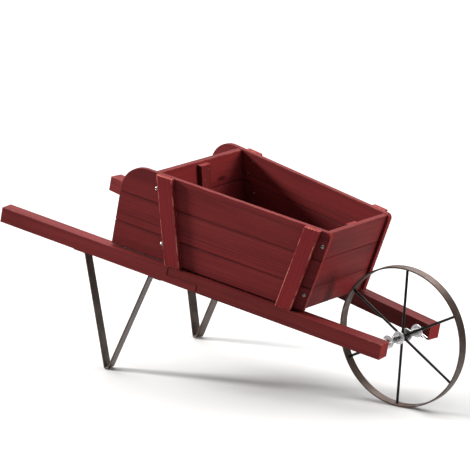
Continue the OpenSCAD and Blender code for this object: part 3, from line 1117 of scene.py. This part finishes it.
@dataclass
class Box:
    """The planked box, with its battens, cleats, floor and fixings."""

    lay: Layout
    side_h: float = 168 * MM
    low_plank_h: float = 51 * MM
    low_gap: float = 3 * MM
    plank_t: float = 10 * MM
    plank_arris: float = 1.2 * MM
    plank_fade: float = 2.2 * MM
    seam_reach: float = 2 * MM
    side_inset: float = 13.5 * MM
    wing_start: float = 242 * MM
    wing_r: float = 50 * MM
    nose_r: float = 9 * MM
    batten_w: float = 32 * MM
    batten_t: float = 10 * MM
    batten_arris: float = 1.2 * MM
    batten_fade: float = 1.5 * MM
    rear_batten_u: float = 384 * MM
    front_batten_u: float = 626 * MM
    rear_lean: float = math.radians(16.4)
    front_lean: float = math.radians(10.3)
    front_margin: float = 21 * MM
    front_setback: float = 4.5 * MM
    rear_setback: float = 2.6 * MM
    end_drop: float = 2 * MM
    cleat_w: float = 30 * MM
    cleat_arris: float = 1 * MM
    cleat_margin: float = 4 * MM
    inner_fade: float = 2 * MM
    slat_t: float = 10 * MM
    slat_arris: float = 0.8 * MM
    slat_gap: float = 6 * MM
    seam_gap: float = 0.4 * MM
    joint_gap: float = 0.3 * MM
    side_screw_l: float = 28 * MM
    nail_l: float = 17 * MM
    nail_head_d: float = 3.6 * MM
    nail_head_h: float = 0.6 * MM
    nail_shank_d: float = 1.6 * MM
    nail_step: float = 0.22
    batten_nail_shares: Flat = (0.28, 0.72)
    cleat_nail_shares: Flat = (0.34, 0.66)
    brad_head_h: float = 0.4 * MM
    brad_sink: float = 0.3 * MM
    brad_grip: float = 11 * MM
    foot_screw_grip: float = 22 * MM
    low_screw_share: float = 0.69
    top_screw_share: float = 0.52
    slats: int = 5
    words: tuple[str, str, str] = ("bottom", "middle", "top")

    def __post_init__(self) -> None:
        """Work out the places that several pieces share."""
        self.plank_out = self.side_inset - self.lay.shaft_w / 2
        self.plank_in = self.plank_out + self.plank_t
        self.seams = [self.low_gap, self.low_plank_h, (self.low_plank_h + self.side_h) / 2, self.side_h]
        reach = self.batten_w / 2 + self.front_margin
        self.front_edge = self.front_batten_u + reach / math.cos(self.front_lean)
        back = self.batten_w / 2 + self.rear_setback + self.plank_t / 2
        self.rear_screw_u = self.rear_batten_u - back / math.cos(self.rear_lean)
        ahead = self.front_setback + self.plank_t / 2
        self.front_screw_u = self.front_edge - ahead / math.cos(self.front_lean)
        middle = (self.plank_in + self.plank_out + self.side_screw_l) / 2
        ct, st = math.cos(self.lay.taper), math.sin(self.lay.taper)
        self.board_x = {
            End.REAR: self.rear_screw_u * ct - middle * st,
            End.FRONT: self.front_screw_u * ct - middle * st,
        }
        self.board_lean = {
            End.REAR: -math.atan(math.tan(self.rear_lean) * ct),
            End.FRONT: math.atan(math.tan(self.front_lean) * ct),
        }
        rear_half, front_half = (self.plank_t / 2 / math.cos(a) for a in (self.rear_lean, self.front_lean))
        self.floor_from = self.board_x[End.REAR] + rear_half + self.joint_gap
        floor_to = self.board_x[End.FRONT] - front_half - self.joint_gap
        gaps = (self.slats - 1) * self.slat_gap
        self.slat_w = (floor_to - self.floor_from - gaps) / self.slats

    def build(self) -> None:
        """Make every piece of the box."""
        for side in Side:
            for level in range(LEVELS):
                self._side_plank(side, level)
            for end in End:
                self._batten(side, end)
            self._side_screws(side)
            self._foot_screws(side)
            self._batten_nails(side)
            self._floor_brads(side)
        for end in End:
            for level in range(LEVELS):
                self._end_plank(end, level)
            self._cleat(end)
            self._cleat_nails(end)
        for index in range(self.slats):
            self._slat(index)

    def _inner_half(self, x: float) -> float:
        """Half of the width between the sides, a distance x along the middle."""
        taper = self.lay.taper
        return self.lay.handle_gap / 2 - x * math.tan(taper) - self.plank_in / math.cos(taper)

    def _side_outline(self) -> list[Flat]:
        """The whole side seen square on, with its two round top corners.

        Returns:
            Its outline, along and above the shaft's top.
        """
        lean, top = self.front_lean, self.side_h - self.nose_r
        nose = (self.front_edge + top * math.tan(lean) - self.nose_r / math.cos(lean), top)
        wing = (self.wing_start + self.wing_r, self.side_h - self.wing_r)
        foot = self.front_edge + self.low_gap * math.tan(lean)
        return (
            [(self.wing_start, self.low_gap), (foot, self.low_gap)]
            + arc(nose, self.nose_r, -math.degrees(lean), 90.0, 8)
            + arc(wing, self.wing_r, 90.0, 180.0, 20)
        )

    def _levels(self, level: int, top: float) -> Flat:
        """Lower and upper edge of a plank, counted from the bottom, under a given top."""
        low = self.seams[level] + (self.seam_gap / 2 if level else 0.0)
        return low, (top if level == LEVELS - 1 else self.seams[level + 1] - self.seam_gap / 2)

    def _side_plank(self, side: Side, level: int) -> None:
        """One plank of a side.

        Args:
            side: The side.
            level: Its place, counted up from the bottom.
        """
        word = self.words[level]
        name = f"{word}_board_{side.word}"
        outline = band(self._side_outline(), *self._levels(level, self.side_h))
        place = self.lay.along_shaft(side) @ Matrix.Translation((0.0, self.plank_in, 0.0)) @ UPRIGHT
        solid = Solid().prism(outline, self.plank_t).ease(self.plank_arris, self.plank_fade)
        # Painted shade on the arrises beside the seams between planks.
        solid.soil(1, self.seams[:LEVELS], self.seam_reach).cut_from(seed_of(name))
        solid.stand(place).piece(name, Finishes.PLANK, [f"side_plank_{word}_{side.word}"])

    def _batten_line(self, end: End) -> Flat:
        """Foot and slope of a batten."""
        rear, front = (self.rear_batten_u, -self.rear_lean), (self.front_batten_u, self.front_lean)
        return rear if end is End.REAR else front

    def _batten(self, side: Side, end: End) -> None:
        """A batten across the outside of a side, cut level at both ends.

        Args:
            side: The side.
            end: The end.
        """
        foot, slope = self._batten_line(end)
        name = f"{end.word}_post_{side.word}"
        half, lift = self.batten_w / 2, self.batten_w / 2 * math.tan(slope)
        length = self.side_h / math.cos(slope)
        outline = [(lift, -half), (length + lift, -half), (length - lift, half), (-lift, half)]
        place = (
            self.lay.along_shaft(side)
            @ Matrix.Translation((foot, self.plank_out, 0.0))
            @ UPRIGHT
            @ Matrix.Rotation(math.pi / 2 - slope, 4, "Z")
        )
        solid = Solid().prism(outline, self.batten_t).ease(self.batten_arris, self.batten_fade)
        solid.cut_from(seed_of(name)).stand(place)
        solid.piece(name, Finishes.BATTEN, [f"batten_{end.word}_{side.word}"])

    def _board_frame(self, end: End) -> Matrix:
        """The frame of an end board: x through it, y across, z up along it."""
        return (
            self.lay.along_middle()
            @ Matrix.Translation((self.board_x[end], 0.0, 0.0))
            @ Matrix.Rotation(self.board_lean[end], 4, "Y")
        )

    def _end_plank(self, end: End, level: int) -> None:
        """One plank of an end board, its ends cut to the sides.

        Args:
            end: The end.
            level: Its place, counted up from the bottom.
        """
        word, lean, t = self.words[level], self.board_lean[end], self.plank_t / 2
        name = f"{end.word}_{word}_board"
        sharp = self.rear_lean if end is End.REAR else self.front_lean
        low, high = self._levels(level, self.side_h - self.end_drop)

        def height(v: float, x: float, flat: bool) -> float:
            """Height along the board of a cut that is level, or square to the board."""
            return (v + x * math.sin(lean)) / math.cos(lean) if flat else v / math.cos(sharp)

        last = LEVELS - 1
        corners = ((-t, low, 0), (t, low, 0), (t, high, last), (-t, high, last))
        section = [(x, height(v, x, level == flat)) for x, v, flat in corners]

        def half(x: float, z: float) -> float:
            """Half width of the box at a point of the section."""
            return self._inner_half(self.board_x[end] + x * math.cos(lean) + z * math.sin(lean))

        solid = Solid().span(section, half).ease(self.plank_arris, self.plank_fade)
        seams = [v / math.cos(lean) for v in self.seams[1:LEVELS]]
        # Painted shade on the arrises beside the seams between planks.
        solid.soil(2, seams, self.seam_reach).cut_from(seed_of(name), Along.Y)
        solid.stand(self._board_frame(end)).piece(name, Finishes.PLANK, [f"{end.word}_plank_{word}"])

    def _cleat(self, end: End) -> None:
        """The upright strip inside an end board that holds its planks together.

        Args:
            end: The end.
        """
        lean = self.board_lean[end]
        name = f"{end.word}_strip"
        near, far = (0.5, 1.5) if end is End.REAR else (-1.5, -0.5)
        low, high = self.slat_t, self.side_h - self.end_drop - self.cleat_margin
        section = [
            (x * self.plank_t, (v + x * self.plank_t * math.sin(lean)) / math.cos(lean))
            for x, v in ((near, low), (far, low), (far, high), (near, high))
        ]
        solid = Solid().span(section, lambda x, z: self.cleat_w / 2).ease(self.cleat_arris, self.inner_fade)
        solid.cut_from(seed_of(name), Along.Z).stand(self._board_frame(end))
        solid.piece(name, Finishes.INNER, [f"{end.word}_cleat"])

    def _slat(self, index: int) -> None:
        """One slat of the floor.

        Args:
            index: Its place, counted from the rear.
        """
        name = f"floor_board_{index + 1}"
        x = self.floor_from + index * (self.slat_w + self.slat_gap)
        section = [(x, 0.0), (x + self.slat_w, 0.0), (x + self.slat_w, self.slat_t), (x, self.slat_t)]
        solid = Solid().span(section, lambda a, b: self._inner_half(a) - self.joint_gap)
        solid.ease(self.slat_arris, self.inner_fade).cut_from(seed_of(name), Along.Y)
        solid.stand(self.lay.along_middle())
        solid.piece(name, Finishes.INNER, [f"floor_slat_{index + 1}"])

    def _side_screws(self, side: Side) -> None:
        """The screws through a side into the end boards.

        Args:
            side: The side.
        """
        upper_h = (self.side_h - self.low_plank_h) / 2
        heights = (self.low_screw_share * self.low_plank_h, self.side_h - self.top_screw_share * upper_h)
        places = [
            self.lay.along_shaft(side) @ Matrix.Translation((u + v * slope, self.plank_out, v)) @ UPRIGHT
            for v in heights
            for u, slope in (
                (self.rear_screw_u, -math.tan(self.rear_lean)),
                (self.front_screw_u, math.tan(self.front_lean)),
            )
        ]
        screw, name = Fastener(Head.PAN, self.side_screw_l), f"board_screws_{side.word}"
        screw.group(name, places, Finishes.SCREW, [f"side_screws_{side.word}"])

    def _foot_screws(self, side: Side) -> None:
        """The screws up through a shaft into the feet of its battens.

        Args:
            side: The side.
        """
        places = [
            self.lay.along_shaft(side)
            @ Matrix.Translation((u, self.plank_out - self.batten_t / 2, -self.lay.shaft_w))
            @ UPSIDE_DOWN
            for u in (self.rear_batten_u, self.front_batten_u)
        ]
        screw, name = Fastener(Head.SUNK, self.lay.shaft_w + self.foot_screw_grip), f"post_screws_{side.word}"
        screw.group(name, places, Finishes.SCREW, [f"box_screws_{side.word}"])

    def _nail_spots(self, shares: Flat, width: float) -> list[Flat]:
        """Where nails go through an upright strip: two to a plank, one on each side of the strip's middle.

        Args:
            shares: How far up a plank each of the two is.
            width: The strip's width.

        Returns:
            The distance of each from the strip's middle, and its height.
        """
        spots = []
        for low, high in zip(self.seams, self.seams[1:]):
            for share, sign in zip(shares, (-1.0, 1.0)):
                spots.append((sign * self.nail_step * width, low + share * (high - low)))
        return spots

    def _nail(self) -> Fastener:
        """The nail that both the battens and the cleats are fixed with."""
        return Fastener(Head.NAIL, self.nail_l, self.nail_head_d, self.nail_head_h, self.nail_shank_d)

    def _batten_nails(self, side: Side) -> None:
        """The nails through a side's planks into its battens.

        Args:
            side: The side.
        """
        places = []
        for step, v in self._nail_spots(self.batten_nail_shares, self.batten_w):
            for end in End:
                foot, slope = self._batten_line(end)
                spot = Matrix.Translation((foot + v * math.tan(slope) + step, self.plank_in, v))
                places.append(self.lay.along_shaft(side) @ spot @ UPRIGHT.inverted())
        nodes = [f"batten_nails_{side.word}"]
        self._nail().group(f"post_nails_{side.word}", places, Finishes.NAIL, nodes)

    def _floor_brads(self, side: Side) -> None:
        """The brads through the slats into a shaft.

        Args:
            side: The side.
        """
        reach = (self.plank_in + self.lay.shaft_w / 2) / 2
        places = []
        for index in range(self.slats):
            x = self.floor_from + self.slat_w / 2 + index * (self.slat_w + self.slat_gap)
            u = (x + reach * math.sin(self.lay.taper)) / math.cos(self.lay.taper)
            spot = Matrix.Translation((u, reach, self.slat_t - self.brad_sink))
            places.append(self.lay.along_shaft(side) @ spot)
        length = self.slat_t + self.brad_grip
        brad = Fastener(Head.NAIL, length, self.nail_head_d, self.brad_head_h, self.nail_shank_d)
        brad.group(f"floor_nails_{side.word}", places, Finishes.NAIL, [f"floor_brads_{side.word}"])

    def _cleat_nails(self, end: End) -> None:
        """The nails through a cleat into the end board's planks.

        Args:
            end: The end.
        """
        lean = abs(self.board_lean[end])
        turn = Matrix.Rotation(math.radians(-90.0 * end.value), 4, "Y")
        places = []
        for y, v in self._nail_spots(self.cleat_nail_shares, self.cleat_w):
            spot = Matrix.Translation((-end.value * 1.5 * self.plank_t, y, v / math.cos(lean)))
            places.append(self._board_frame(end) @ spot @ turn)
        nodes = [f"cleat_nails_{end.word}"]
        self._nail().group(f"{end.word}_strip_nails", places, Finishes.NAIL, nodes)


@dataclass
class Legs:
    """Two legs, each one strap of iron bent into a V and screwed up under its shaft."""

    lay: Layout
    strap_w: float = 22 * MM
    strap_t: float = 3 * MM
    rear_u: float = 194 * MM
    front_u: float = 338 * MM
    foot_u: float = 280 * MM
    flange_l: float = 26 * MM
    foot_r: float = 6 * MM
    top_bend: float = 3.2 * MM
    strap_edge: float = 0.7 * MM
    wide_face: float = 5 * MM
    wear_reach: float = 2 * MM
    screw_margin: float = 6 * MM

    def build(self) -> None:
        """Make both legs and their screws."""
        for side in Side:
            self._strap(side)
            self._screws(side)

    @staticmethod
    def _fillet(before: Flat, corner: Flat, after: Flat, radius: float) -> list[Flat]:
        """Round the corner of a path.

        Args:
            before: The point before it.
            corner: The corner.
            after: The point after it.
            radius: Radius of the bend.

        Returns:
            The points that take the corner's place.
        """
        a = (Vector(before) - Vector(corner)).normalized()
        b = (Vector(after) - Vector(corner)).normalized()
        half = a.angle(b) / 2
        centre = Vector(corner) + (a + b).normalized() * radius / math.sin(half)
        start = Vector(corner) + a * radius / math.tan(half) - centre
        stop = Vector(corner) + b * radius / math.tan(half) - centre
        turn = math.atan2(start.x * stop.y - start.y * stop.x, start.dot(stop))
        spin = [Matrix.Rotation(turn * k / 6, 2) @ start + centre for k in range(7)]
        return [(p.x, p.y) for p in spin]

    def _path(self) -> list[Flat]:
        """The strap's middle line seen from the side.

        Returns:
            Its points, from the rear flange's end to the front one's.
        """
        v = -self.lay.shaft_w - self.strap_t / 2
        bend = self.foot_r - self.strap_t / 2
        clear = self.foot_r + self.strap_w / 2 * math.sin(self.lay.taper) * math.sin(self.lay.tilt)
        foot = Vector((self.foot_u, self.lay.ground_v(self.foot_u, clear)))
        tops = [Vector((self.rear_u, v)), Vector((self.front_u, v))]
        turns = []
        for top, sign, quarter in zip(tops, (-1.0, 1.0), (90.0, 270.0)):
            way = top - foot
            lean = math.degrees(math.atan2(way.y, way.x) + sign * math.asin(bend / way.length))
            turns.append(lean + quarter)
        foot_arc = arc((foot.x, foot.y), bend, turns[0], turns[1], 10)
        rear_end, front_end = (self.rear_u - self.flange_l, v), (self.front_u + self.flange_l, v)
        return (
            [rear_end]
            + self._fillet(rear_end, tuple(tops[0]), foot_arc[0], self.top_bend)
            + foot_arc
            + self._fillet(foot_arc[-1], tuple(tops[1]), front_end, self.top_bend)
            + [front_end]
        )

    def _strap(self, side: Side) -> None:
        """One leg: a rounded bar swept along its path.

        Args:
            side: The side.
        """
        name = f"leg_strap_{side.word}"
        path = [Vector((u, 0.0, v)) for u, v in self._path()]
        across = Vector((0.0, 1.0, 0.0))
        stations = []
        for i, point in enumerate(path):
            way = (path[min(i + 1, len(path) - 1)] - path[max(i - 1, 0)]).normalized()
            stations.append((point, across, way.cross(across)))
        edges = rounded_bar(self.strap_w, self.strap_t, self.strap_edge)
        section = self._with_flats(edges)
        wear = [1.0 if point in edges else 0.0 for point in section]
        solid = Solid().sweep(stations, section, wear)
        solid.cut_from(seed_of(name)).stand(self.lay.along_shaft(side))
        solid.piece(name, Finishes.STRAP, [f"leg_{side.word}"], soft=SOFT_METAL)

    def _with_flats(self, section: Sequence[Flat]) -> list[Flat]:
        """The section with two more points on each of its wide faces, where the wear ends.

        Args:
            section: The section.

        Returns:
            The section with the points added.
        """
        out: list[Flat] = []
        for a, b in zip(section, list(section[1:]) + [section[0]]):
            out.append(a)
            if abs(a[0] - b[0]) > self.wide_face:
                step = math.copysign(self.wear_reach, b[0] - a[0])
                out += [(a[0] + step, a[1]), (b[0] - step, b[1])]
        return out

    def _screws(self, side: Side) -> None:
        """The screws through a leg's two flanges.

        Args:
            side: The side.
        """
        places = [
            self.lay.along_shaft(side)
            @ Matrix.Translation((u, 0.0, -self.lay.shaft_w - self.strap_t))
            @ UPSIDE_DOWN
            for u in (self.rear_u - self.flange_l / 2, self.front_u + self.flange_l / 2)
        ]
        screw = Fastener(Head.PAN, self.lay.shaft_w - self.screw_margin)
        screw.group(f"flange_screws_{side.word}", places, Finishes.SCREW, [f"leg_screws_{side.word}"])


@dataclass
class Running:
    """The wheel, its axle, and the springs and washers that keep it in the middle."""

    lay: Layout
    rim_w: float = 20 * MM
    rim_t: float = 3 * MM
    spoke_d: float = 5 * MM
    spoke_start: float = 27.0
    spokes: int = 6
    hub_d: float = 17 * MM
    hub_l: float = 24 * MM
    axle_d: float = 8 * MM
    socket: float = 18 * MM
    spring_d: float = 14 * MM
    spring_l: float = 34 * MM
    wire_d: float = 1.6 * MM
    spring_turns: int = 8
    washer_d: float = 25 * MM
    washer_t: float = 1.5 * MM
    pin_d: float = 3 * MM
    pin_leg_l: float = 20 * MM
    pin_spread: float = 7.0
    pin_eye_r: float = 2.2 * MM
    pin_turns: tuple[tuple[Side, float], ...] = ((Side.RIGHT, 164.0), (Side.LEFT, 30.0))
    gap: float = 0.3 * MM
    rim_edge: float = 0.6 * MM
    rim_wear: float = 1.5 * MM
    hub_play: float = 0.08 * MM
    hub_edge: float = 0.7 * MM
    bead: float = 1.5 * MM
    spoke_root: float = 0.8 * MM
    spoke_tip: float = 0.6 * MM
    weld_reach: float = 3 * MM
    axle_chamfer: float = 0.6 * MM
    washer_play: float = 0.2 * MM
    washer_edge: float = 0.35 * MM

    def build(self) -> None:
        """Make the wheel and everything on its axle."""
        self._rim()
        self._hub()
        for index in range(self.spokes):
            self._spoke(index)
        self._axle()
        inner = self.hub_l / 2 + self.gap
        start = inner + self.washer_t + self.gap
        outer = start + self.spring_l + self.gap
        for side, turn in self.pin_turns:
            self._washer(side, inner, f"hub_washer_{side.word}")
            self._spring(side, start, start + self.spring_l)
            self._washer(side, outer, f"spring_washer_{side.word}")
            self._split_pin(side, outer + self.washer_t + self.gap + self.pin_d / 2, turn)

    def _ring(self, middle: float, width: float, height: float, edge: float) -> list[Flat]:
        """Profile of a flat ring with rounded edges, its height along the axis."""
        return [(middle + x, z) for x, z in rounded_bar(width, height, edge)]

    def _rim(self) -> None:
        """The rim, a strip of flat bar bent round and butt-welded."""
        solid = Solid()
        middle = self.lay.wheel_r - self.rim_t / 2
        profile = self._ring(middle, self.rim_t, self.rim_w, self.rim_edge)
        solid.lathe(profile, 180)
        layer = solid.bm.verts.layers.float["wear"]
        for vert in solid.bm.verts:
            vert[layer] = 1.0 if abs(vert.co.z) > self.rim_w / 2 - self.rim_wear else 0.25
        solid.cut_from(seed_of("rim")).stand(self.lay.along_axle(Side.RIGHT))
        solid.piece("rim_strip", Finishes.RIM, ["wheel_rim"], Body.WHEEL, SOFT_METAL)

    def _hub(self) -> None:
        """The hub, a short tube with its ends turned off."""
        bore = self.axle_d / 2 + self.hub_play
        wall = self.hub_d / 2 - bore
        solid = Solid().lathe(self._ring(bore + wall / 2, wall, self.hub_l, self.hub_edge), 64)
        solid.cut_from(seed_of("hub")).stand(self.lay.along_axle(Side.RIGHT))
        solid.piece("hub_tube", Finishes.SPOKE, ["wheel_hub"], Body.WHEEL, SOFT_METAL)

    def _spoke(self, index: int) -> None:
        """One spoke, a rod with a weld bead at each end.

        Args:
            index: Its place round the wheel.
        """
        name = f"spoke_rod_{index + 1}"
        rod, inside, outside = self.spoke_d / 2, self.hub_d / 2, self.lay.wheel_r - self.rim_t
        bead, root, tip = self.bead, inside - self.spoke_root, outside + self.spoke_tip
        profile = [(0.0, root), (rod + bead, root), (rod + bead, inside)]
        swell = [(rod + bead * (1 - math.sin(a)), bead * (1 - math.cos(a))) for a in (0.4, 0.9, 1.57)]
        profile += [(r, inside + 1.8 * z) for r, z in swell]
        profile += [(rod, inside + (outside - inside) * k / 8) for k in range(1, 8)]
        profile += [(r, outside - 1.5 * z) for r, z in reversed(swell)]
        profile += [(rod + bead, outside), (rod + bead, tip), (0.0, tip)]
        solid = Solid().lathe(profile, 20, closed=False).cut_from(seed_of(name))
        layer = solid.bm.verts.layers.float["wear"]
        for vert in solid.bm.verts:
            near_end = min(abs(vert.co.z - inside), abs(vert.co.z - outside))
            vert[layer] = 0.9 if near_end < self.weld_reach else 0.1
        turn = Matrix.Rotation(-math.radians(self.spoke_start + 360.0 / self.spokes * index), 4, "Z")
        place = self.lay.along_axle(Side.LEFT) @ turn @ Matrix.Rotation(math.pi / 2, 4, "Y")
        solid.stand(place).piece(name, Finishes.SPOKE, [f"spoke_{index + 1}"], Body.WHEEL, SOFT_METAL)

    def _axle(self) -> None:
        """The rod that the wheel turns on, its ends hidden in the shafts."""
        half, r = self.lay.inner_y + self.socket - self.gap, self.axle_d / 2
        chamfer = self.axle_chamfer
        below = [(0.0, -half), (r - chamfer, -half), (r, -half + chamfer)]
        profile = [*below, (r, half - chamfer), (r - chamfer, half), (0.0, half)]
        solid = Solid().lathe(profile, 48, closed=False).cut_from(seed_of("axle"))
        solid.stand(self.lay.along_axle(Side.RIGHT)).piece("axle_bar", Finishes.AXLE, ["axle_rod"])

    def _washer(self, side: Side, start: float, node: str) -> None:
        """One washer.

        Args:
            side: The side.
            start: Distance of its inner face from the middle of the axle.
            node: The CAD node that it replaces.
        """
        bore = self.axle_d / 2 + self.washer_play
        wall = self.washer_d / 2 - bore
        profile = self._ring(bore + wall / 2, wall, self.washer_t, self.washer_edge)
        solid = Solid().lathe(profile, 64).cut_from(seed_of(node))
        place = self.lay.along_axle(side) @ Matrix.Translation((0.0, 0.0, start + self.washer_t / 2))
        solid.stand(place).piece(f"{node}_disc", Finishes.WASHER, [node], soft=SOFT_METAL)

    def _spring(self, side: Side, start: float, stop: float) -> None:
        """A compression spring with one closed turn at each end.

        Args:
            side: The side.
            start: Distance of its inner end from the middle of the axle.
            stop: Distance of its outer end.
        """
        name = f"coil_{side.word}"
        wire, per_turn = self.wire_d / 2, 36
        radius, low, high = self.spring_d / 2 - wire, start + wire, stop - wire
        pitch = (high - low - 2 * self.wire_d) / (self.spring_turns - 2)
        stations = []
        for i in range(self.spring_turns * per_turn + 1):
            t = i / per_turn
            left = self.spring_turns - t
            if t < 1:
                height = low + self.wire_d * t
            elif left < 1:
                height = high - self.wire_d * left
            else:
                height = low + self.wire_d + pitch * (t - 1)
            a = 2 * math.pi * t
            out = Vector((math.cos(a), math.sin(a), 0.0))
            stations.append((out * radius + Vector((0.0, 0.0, height)), out, Vector((0.0, 0.0, 1.0))))
        section = arc((0.0, 0.0), wire, 0.0, 330.0, 11)
        solid = Solid().sweep(stations, section).cut_from(seed_of(name))
        solid.stand(self.lay.along_axle(side))
        solid.piece(name, Finishes.SPRING, [f"spring_{side.word}"], soft=60.0)

    def _half_round(self) -> list[Flat]:
        """Section of the wire that a split pin is folded from: a D, its flat at the fold."""
        return arc((0.0, 0.0), PIN_SECTION * self.pin_d, 8.0, 172.0, 9)

    def _split_pin(self, side: Side, middle: float, turn: float) -> None:
        """A split pin through the axle: half-round wire folded at its eye, with its legs sprung apart.

        Args:
            side: The side that it is on.
            middle: Its distance from the middle of the axle.
            turn: Which way its legs point, in degrees round the axle.
        """
        name = f"cotter_{side.word}"
        reach, deep = self.axle_d / 2 + 1.2 * MM, PIN_SECTION * self.pin_d
        eye_x = -reach - self.pin_eye_r
        opening = math.degrees(math.asin(min(1.0, 0.5 * deep / self.pin_eye_r)))
        whole = Solid()
        for s in (1.0, -1.0):
            lean = math.radians(s * self.pin_spread)
            bend = self.axle_d / 2 + 0.4 * MM
            tip = (bend + self.pin_leg_l * math.cos(lean), self.pin_leg_l * math.sin(lean))
            eye = [
                (eye_x + self.pin_eye_r * math.cos(a), s * self.pin_eye_r * math.sin(a))
                for a in (math.radians(180.0 - (180.0 - opening) * k / 14) for k in range(15))
            ]
            path = [*eye, (-reach + 0.3 * MM, 0.0), (0.0, 0.0), (bend, 0.0), tip]
            stations = []
            for i, (x, y) in enumerate(path):
                ahead, behind = path[min(i + 1, len(path) - 1)], path[max(i - 1, 0)]
                way = Vector((ahead[0] - behind[0], ahead[1] - behind[1], 0.0)).normalized()
                out = Vector((-way.y, way.x, 0.0)) * s
                lift = 0.5 if i < len(eye) else 0.0
                base = Vector((x, y, 0.0)) - out * (lift * deep)
                stations.append((base, Vector((0.0, 0.0, s)), out))
            whole.take(Solid().sweep(stations, self._half_round()).cut_from(seed_of(name)))
        place = (
            self.lay.along_axle(side)
            @ Matrix.Translation((0.0, 0.0, middle))
            @ Matrix.Rotation(math.radians(turn), 4, "Z")
        )
        whole.stand(place).piece(name, Finishes.WASHER, [f"split_pin_{side.word}"], soft=SOFT_METAL)


# ---- studio --------------------------------------------------------------------------------------


@dataclass(frozen=True)
class Lamp:
    """A broad even light, far away."""

    name: str
    towards: tuple[float, float, float]
    strength: float
    spread: float
    tint: Colour = (1.0, 1.0, 1.0)
    mirrored: bool = True


@dataclass
class Studio:
    """A pale floor, soft lights and the camera."""

    lay: Layout
    azimuth: float = math.radians(35.26)
    elevation: float = math.radians(13.75)
    roll: float = math.radians(1.16)
    distance: float = 6.781
    lens: float = 272.45
    ambient: float = 0.2
    aim_ahead: float = 0.41997
    aim_height: float = 0.2631
    sensor_w: float = 36.0
    shift: Flat = (0.0012, 0.0026)
    clip: Flat = (0.1, 60.0)
    paper: float = 0.32
    floor_reach: float = 14.0
    floor_drop: float = 0.7 * MM
    sheet_reach: float = 0.7
    sheet_drop: float = 0.5 * MM
    lamps: tuple[Lamp, ...] = (
        Lamp("ceiling", (-0.18, 0.3, 1.0), 8.0, 75.0),
        Lamp("raking", (-0.84, -0.34, 0.42), 8.6, 11.0, (1.0, 0.985, 0.965)),
        Lamp("end", (0.82, 0.4, 0.2), 4.7, 24.0, (1.0, 0.97, 0.94), mirrored=False),
    )

    def build(self) -> None:
        """Set up everything that isn't part of the barrow."""
        self._floor()
        self._sky()
        for lamp in self.lamps:
            self._hang(lamp)
        self._camera()

    def _floor(self) -> None:
        """A wide pale floor and a sheet on it under the barrow; of the two, only the sheet is mirrored."""
        bench, grey = Bench("floor_paper"), (self.paper, self.paper, self.paper, 1.0)
        paper = bench.node(
            "ShaderNodeBsdfPrincipled",
            {},
            {"Base Color": grey, "Roughness": 0.9, "Specular IOR Level": 0.1},
        )
        bench.node("ShaderNodeOutputMaterial", {}, {"Surface": paper})
        for name, reach, drop, mirrored in (
            ("studio_floor", self.floor_reach, self.floor_drop, False),
            ("studio_sheet", self.sheet_reach, self.sheet_drop, True),
        ):
            solid = bmesh.new()
            bmesh.ops.create_grid(solid, x_segments=8, y_segments=8, size=reach)
            mesh = bpy.data.meshes.new(name)
            solid.to_mesh(mesh)
            solid.free()
            mesh.materials.append(bench.material)
            made = bpy.data.objects.new(name, mesh)
            made.location.z = -drop
            made.visible_glossy = mirrored
            bpy.context.scene.collection.objects.link(made)

    def _sky(self) -> None:
        """An even white surround."""
        world = bpy.data.worlds.new("surround")
        world.use_nodes = True
        world.node_tree.nodes["Background"].inputs[0].default_value = (1.0, 1.0, 1.0, 1.0)
        world.node_tree.nodes["Background"].inputs[1].default_value = self.ambient
        bpy.context.scene.world = world
        bpy.context.scene.view_settings.view_transform = "Standard"

    def _hang(self, lamp: Lamp) -> None:
        """Put up one light.

        Args:
            lamp: The light.
        """
        data = bpy.data.lights.new(lamp.name, "SUN")
        data.energy, data.angle, data.color = lamp.strength, math.radians(lamp.spread), lamp.tint
        made = bpy.data.objects.new(lamp.name, data)
        made.matrix_world = Vector(lamp.towards).to_track_quat("Z", "Y").to_matrix().to_4x4()
        made.visible_glossy = lamp.mirrored
        bpy.context.scene.collection.objects.link(made)

    def _camera(self) -> None:
        """A long lens, low and to the right of the wheel."""
        a, e, r = self.azimuth, self.elevation, self.roll
        back = Vector((math.sin(a) * math.cos(e), -math.cos(a) * math.cos(e), math.sin(e)))
        right = Vector((math.cos(a), math.sin(a), 0.0))
        up = back.cross(right)
        first = right * math.cos(r) + up * math.sin(r)
        second = up * math.cos(r) - right * math.sin(r)
        handles = self.lay.along_middle() @ Vector((0.0, 0.0, -self.lay.shaft_w / 2))
        aim = Vector((handles.x + self.aim_ahead, 0.0, self.aim_height))
        data = bpy.data.cameras.new("camera")
        data.sensor_width, data.lens = self.sensor_w, self.lens
        data.shift_x, data.shift_y = self.shift
        data.clip_start, data.clip_end = self.clip
        made = bpy.data.objects.new("camera", data)
        turn = Matrix((first, second, back)).transposed().to_4x4()
        made.matrix_world = Matrix.Translation(aim + back * self.distance) @ turn
        bpy.context.scene.collection.objects.link(made)
        bpy.context.scene.camera = made


def main() -> None:
    """Build the barrow and its studio, and log each assembly as it is done."""
    logging.basicConfig(level=logging.INFO, format="%(name)s: %(message)s")
    lay = Layout()
    for assembly in (Shafts(lay), Box(lay), Legs(lay), Running(lay)):
        assembly.build()
        log.info("%s done", type(assembly).__name__)
    Studio(lay).build()


if __name__ == "__main__":
    main()
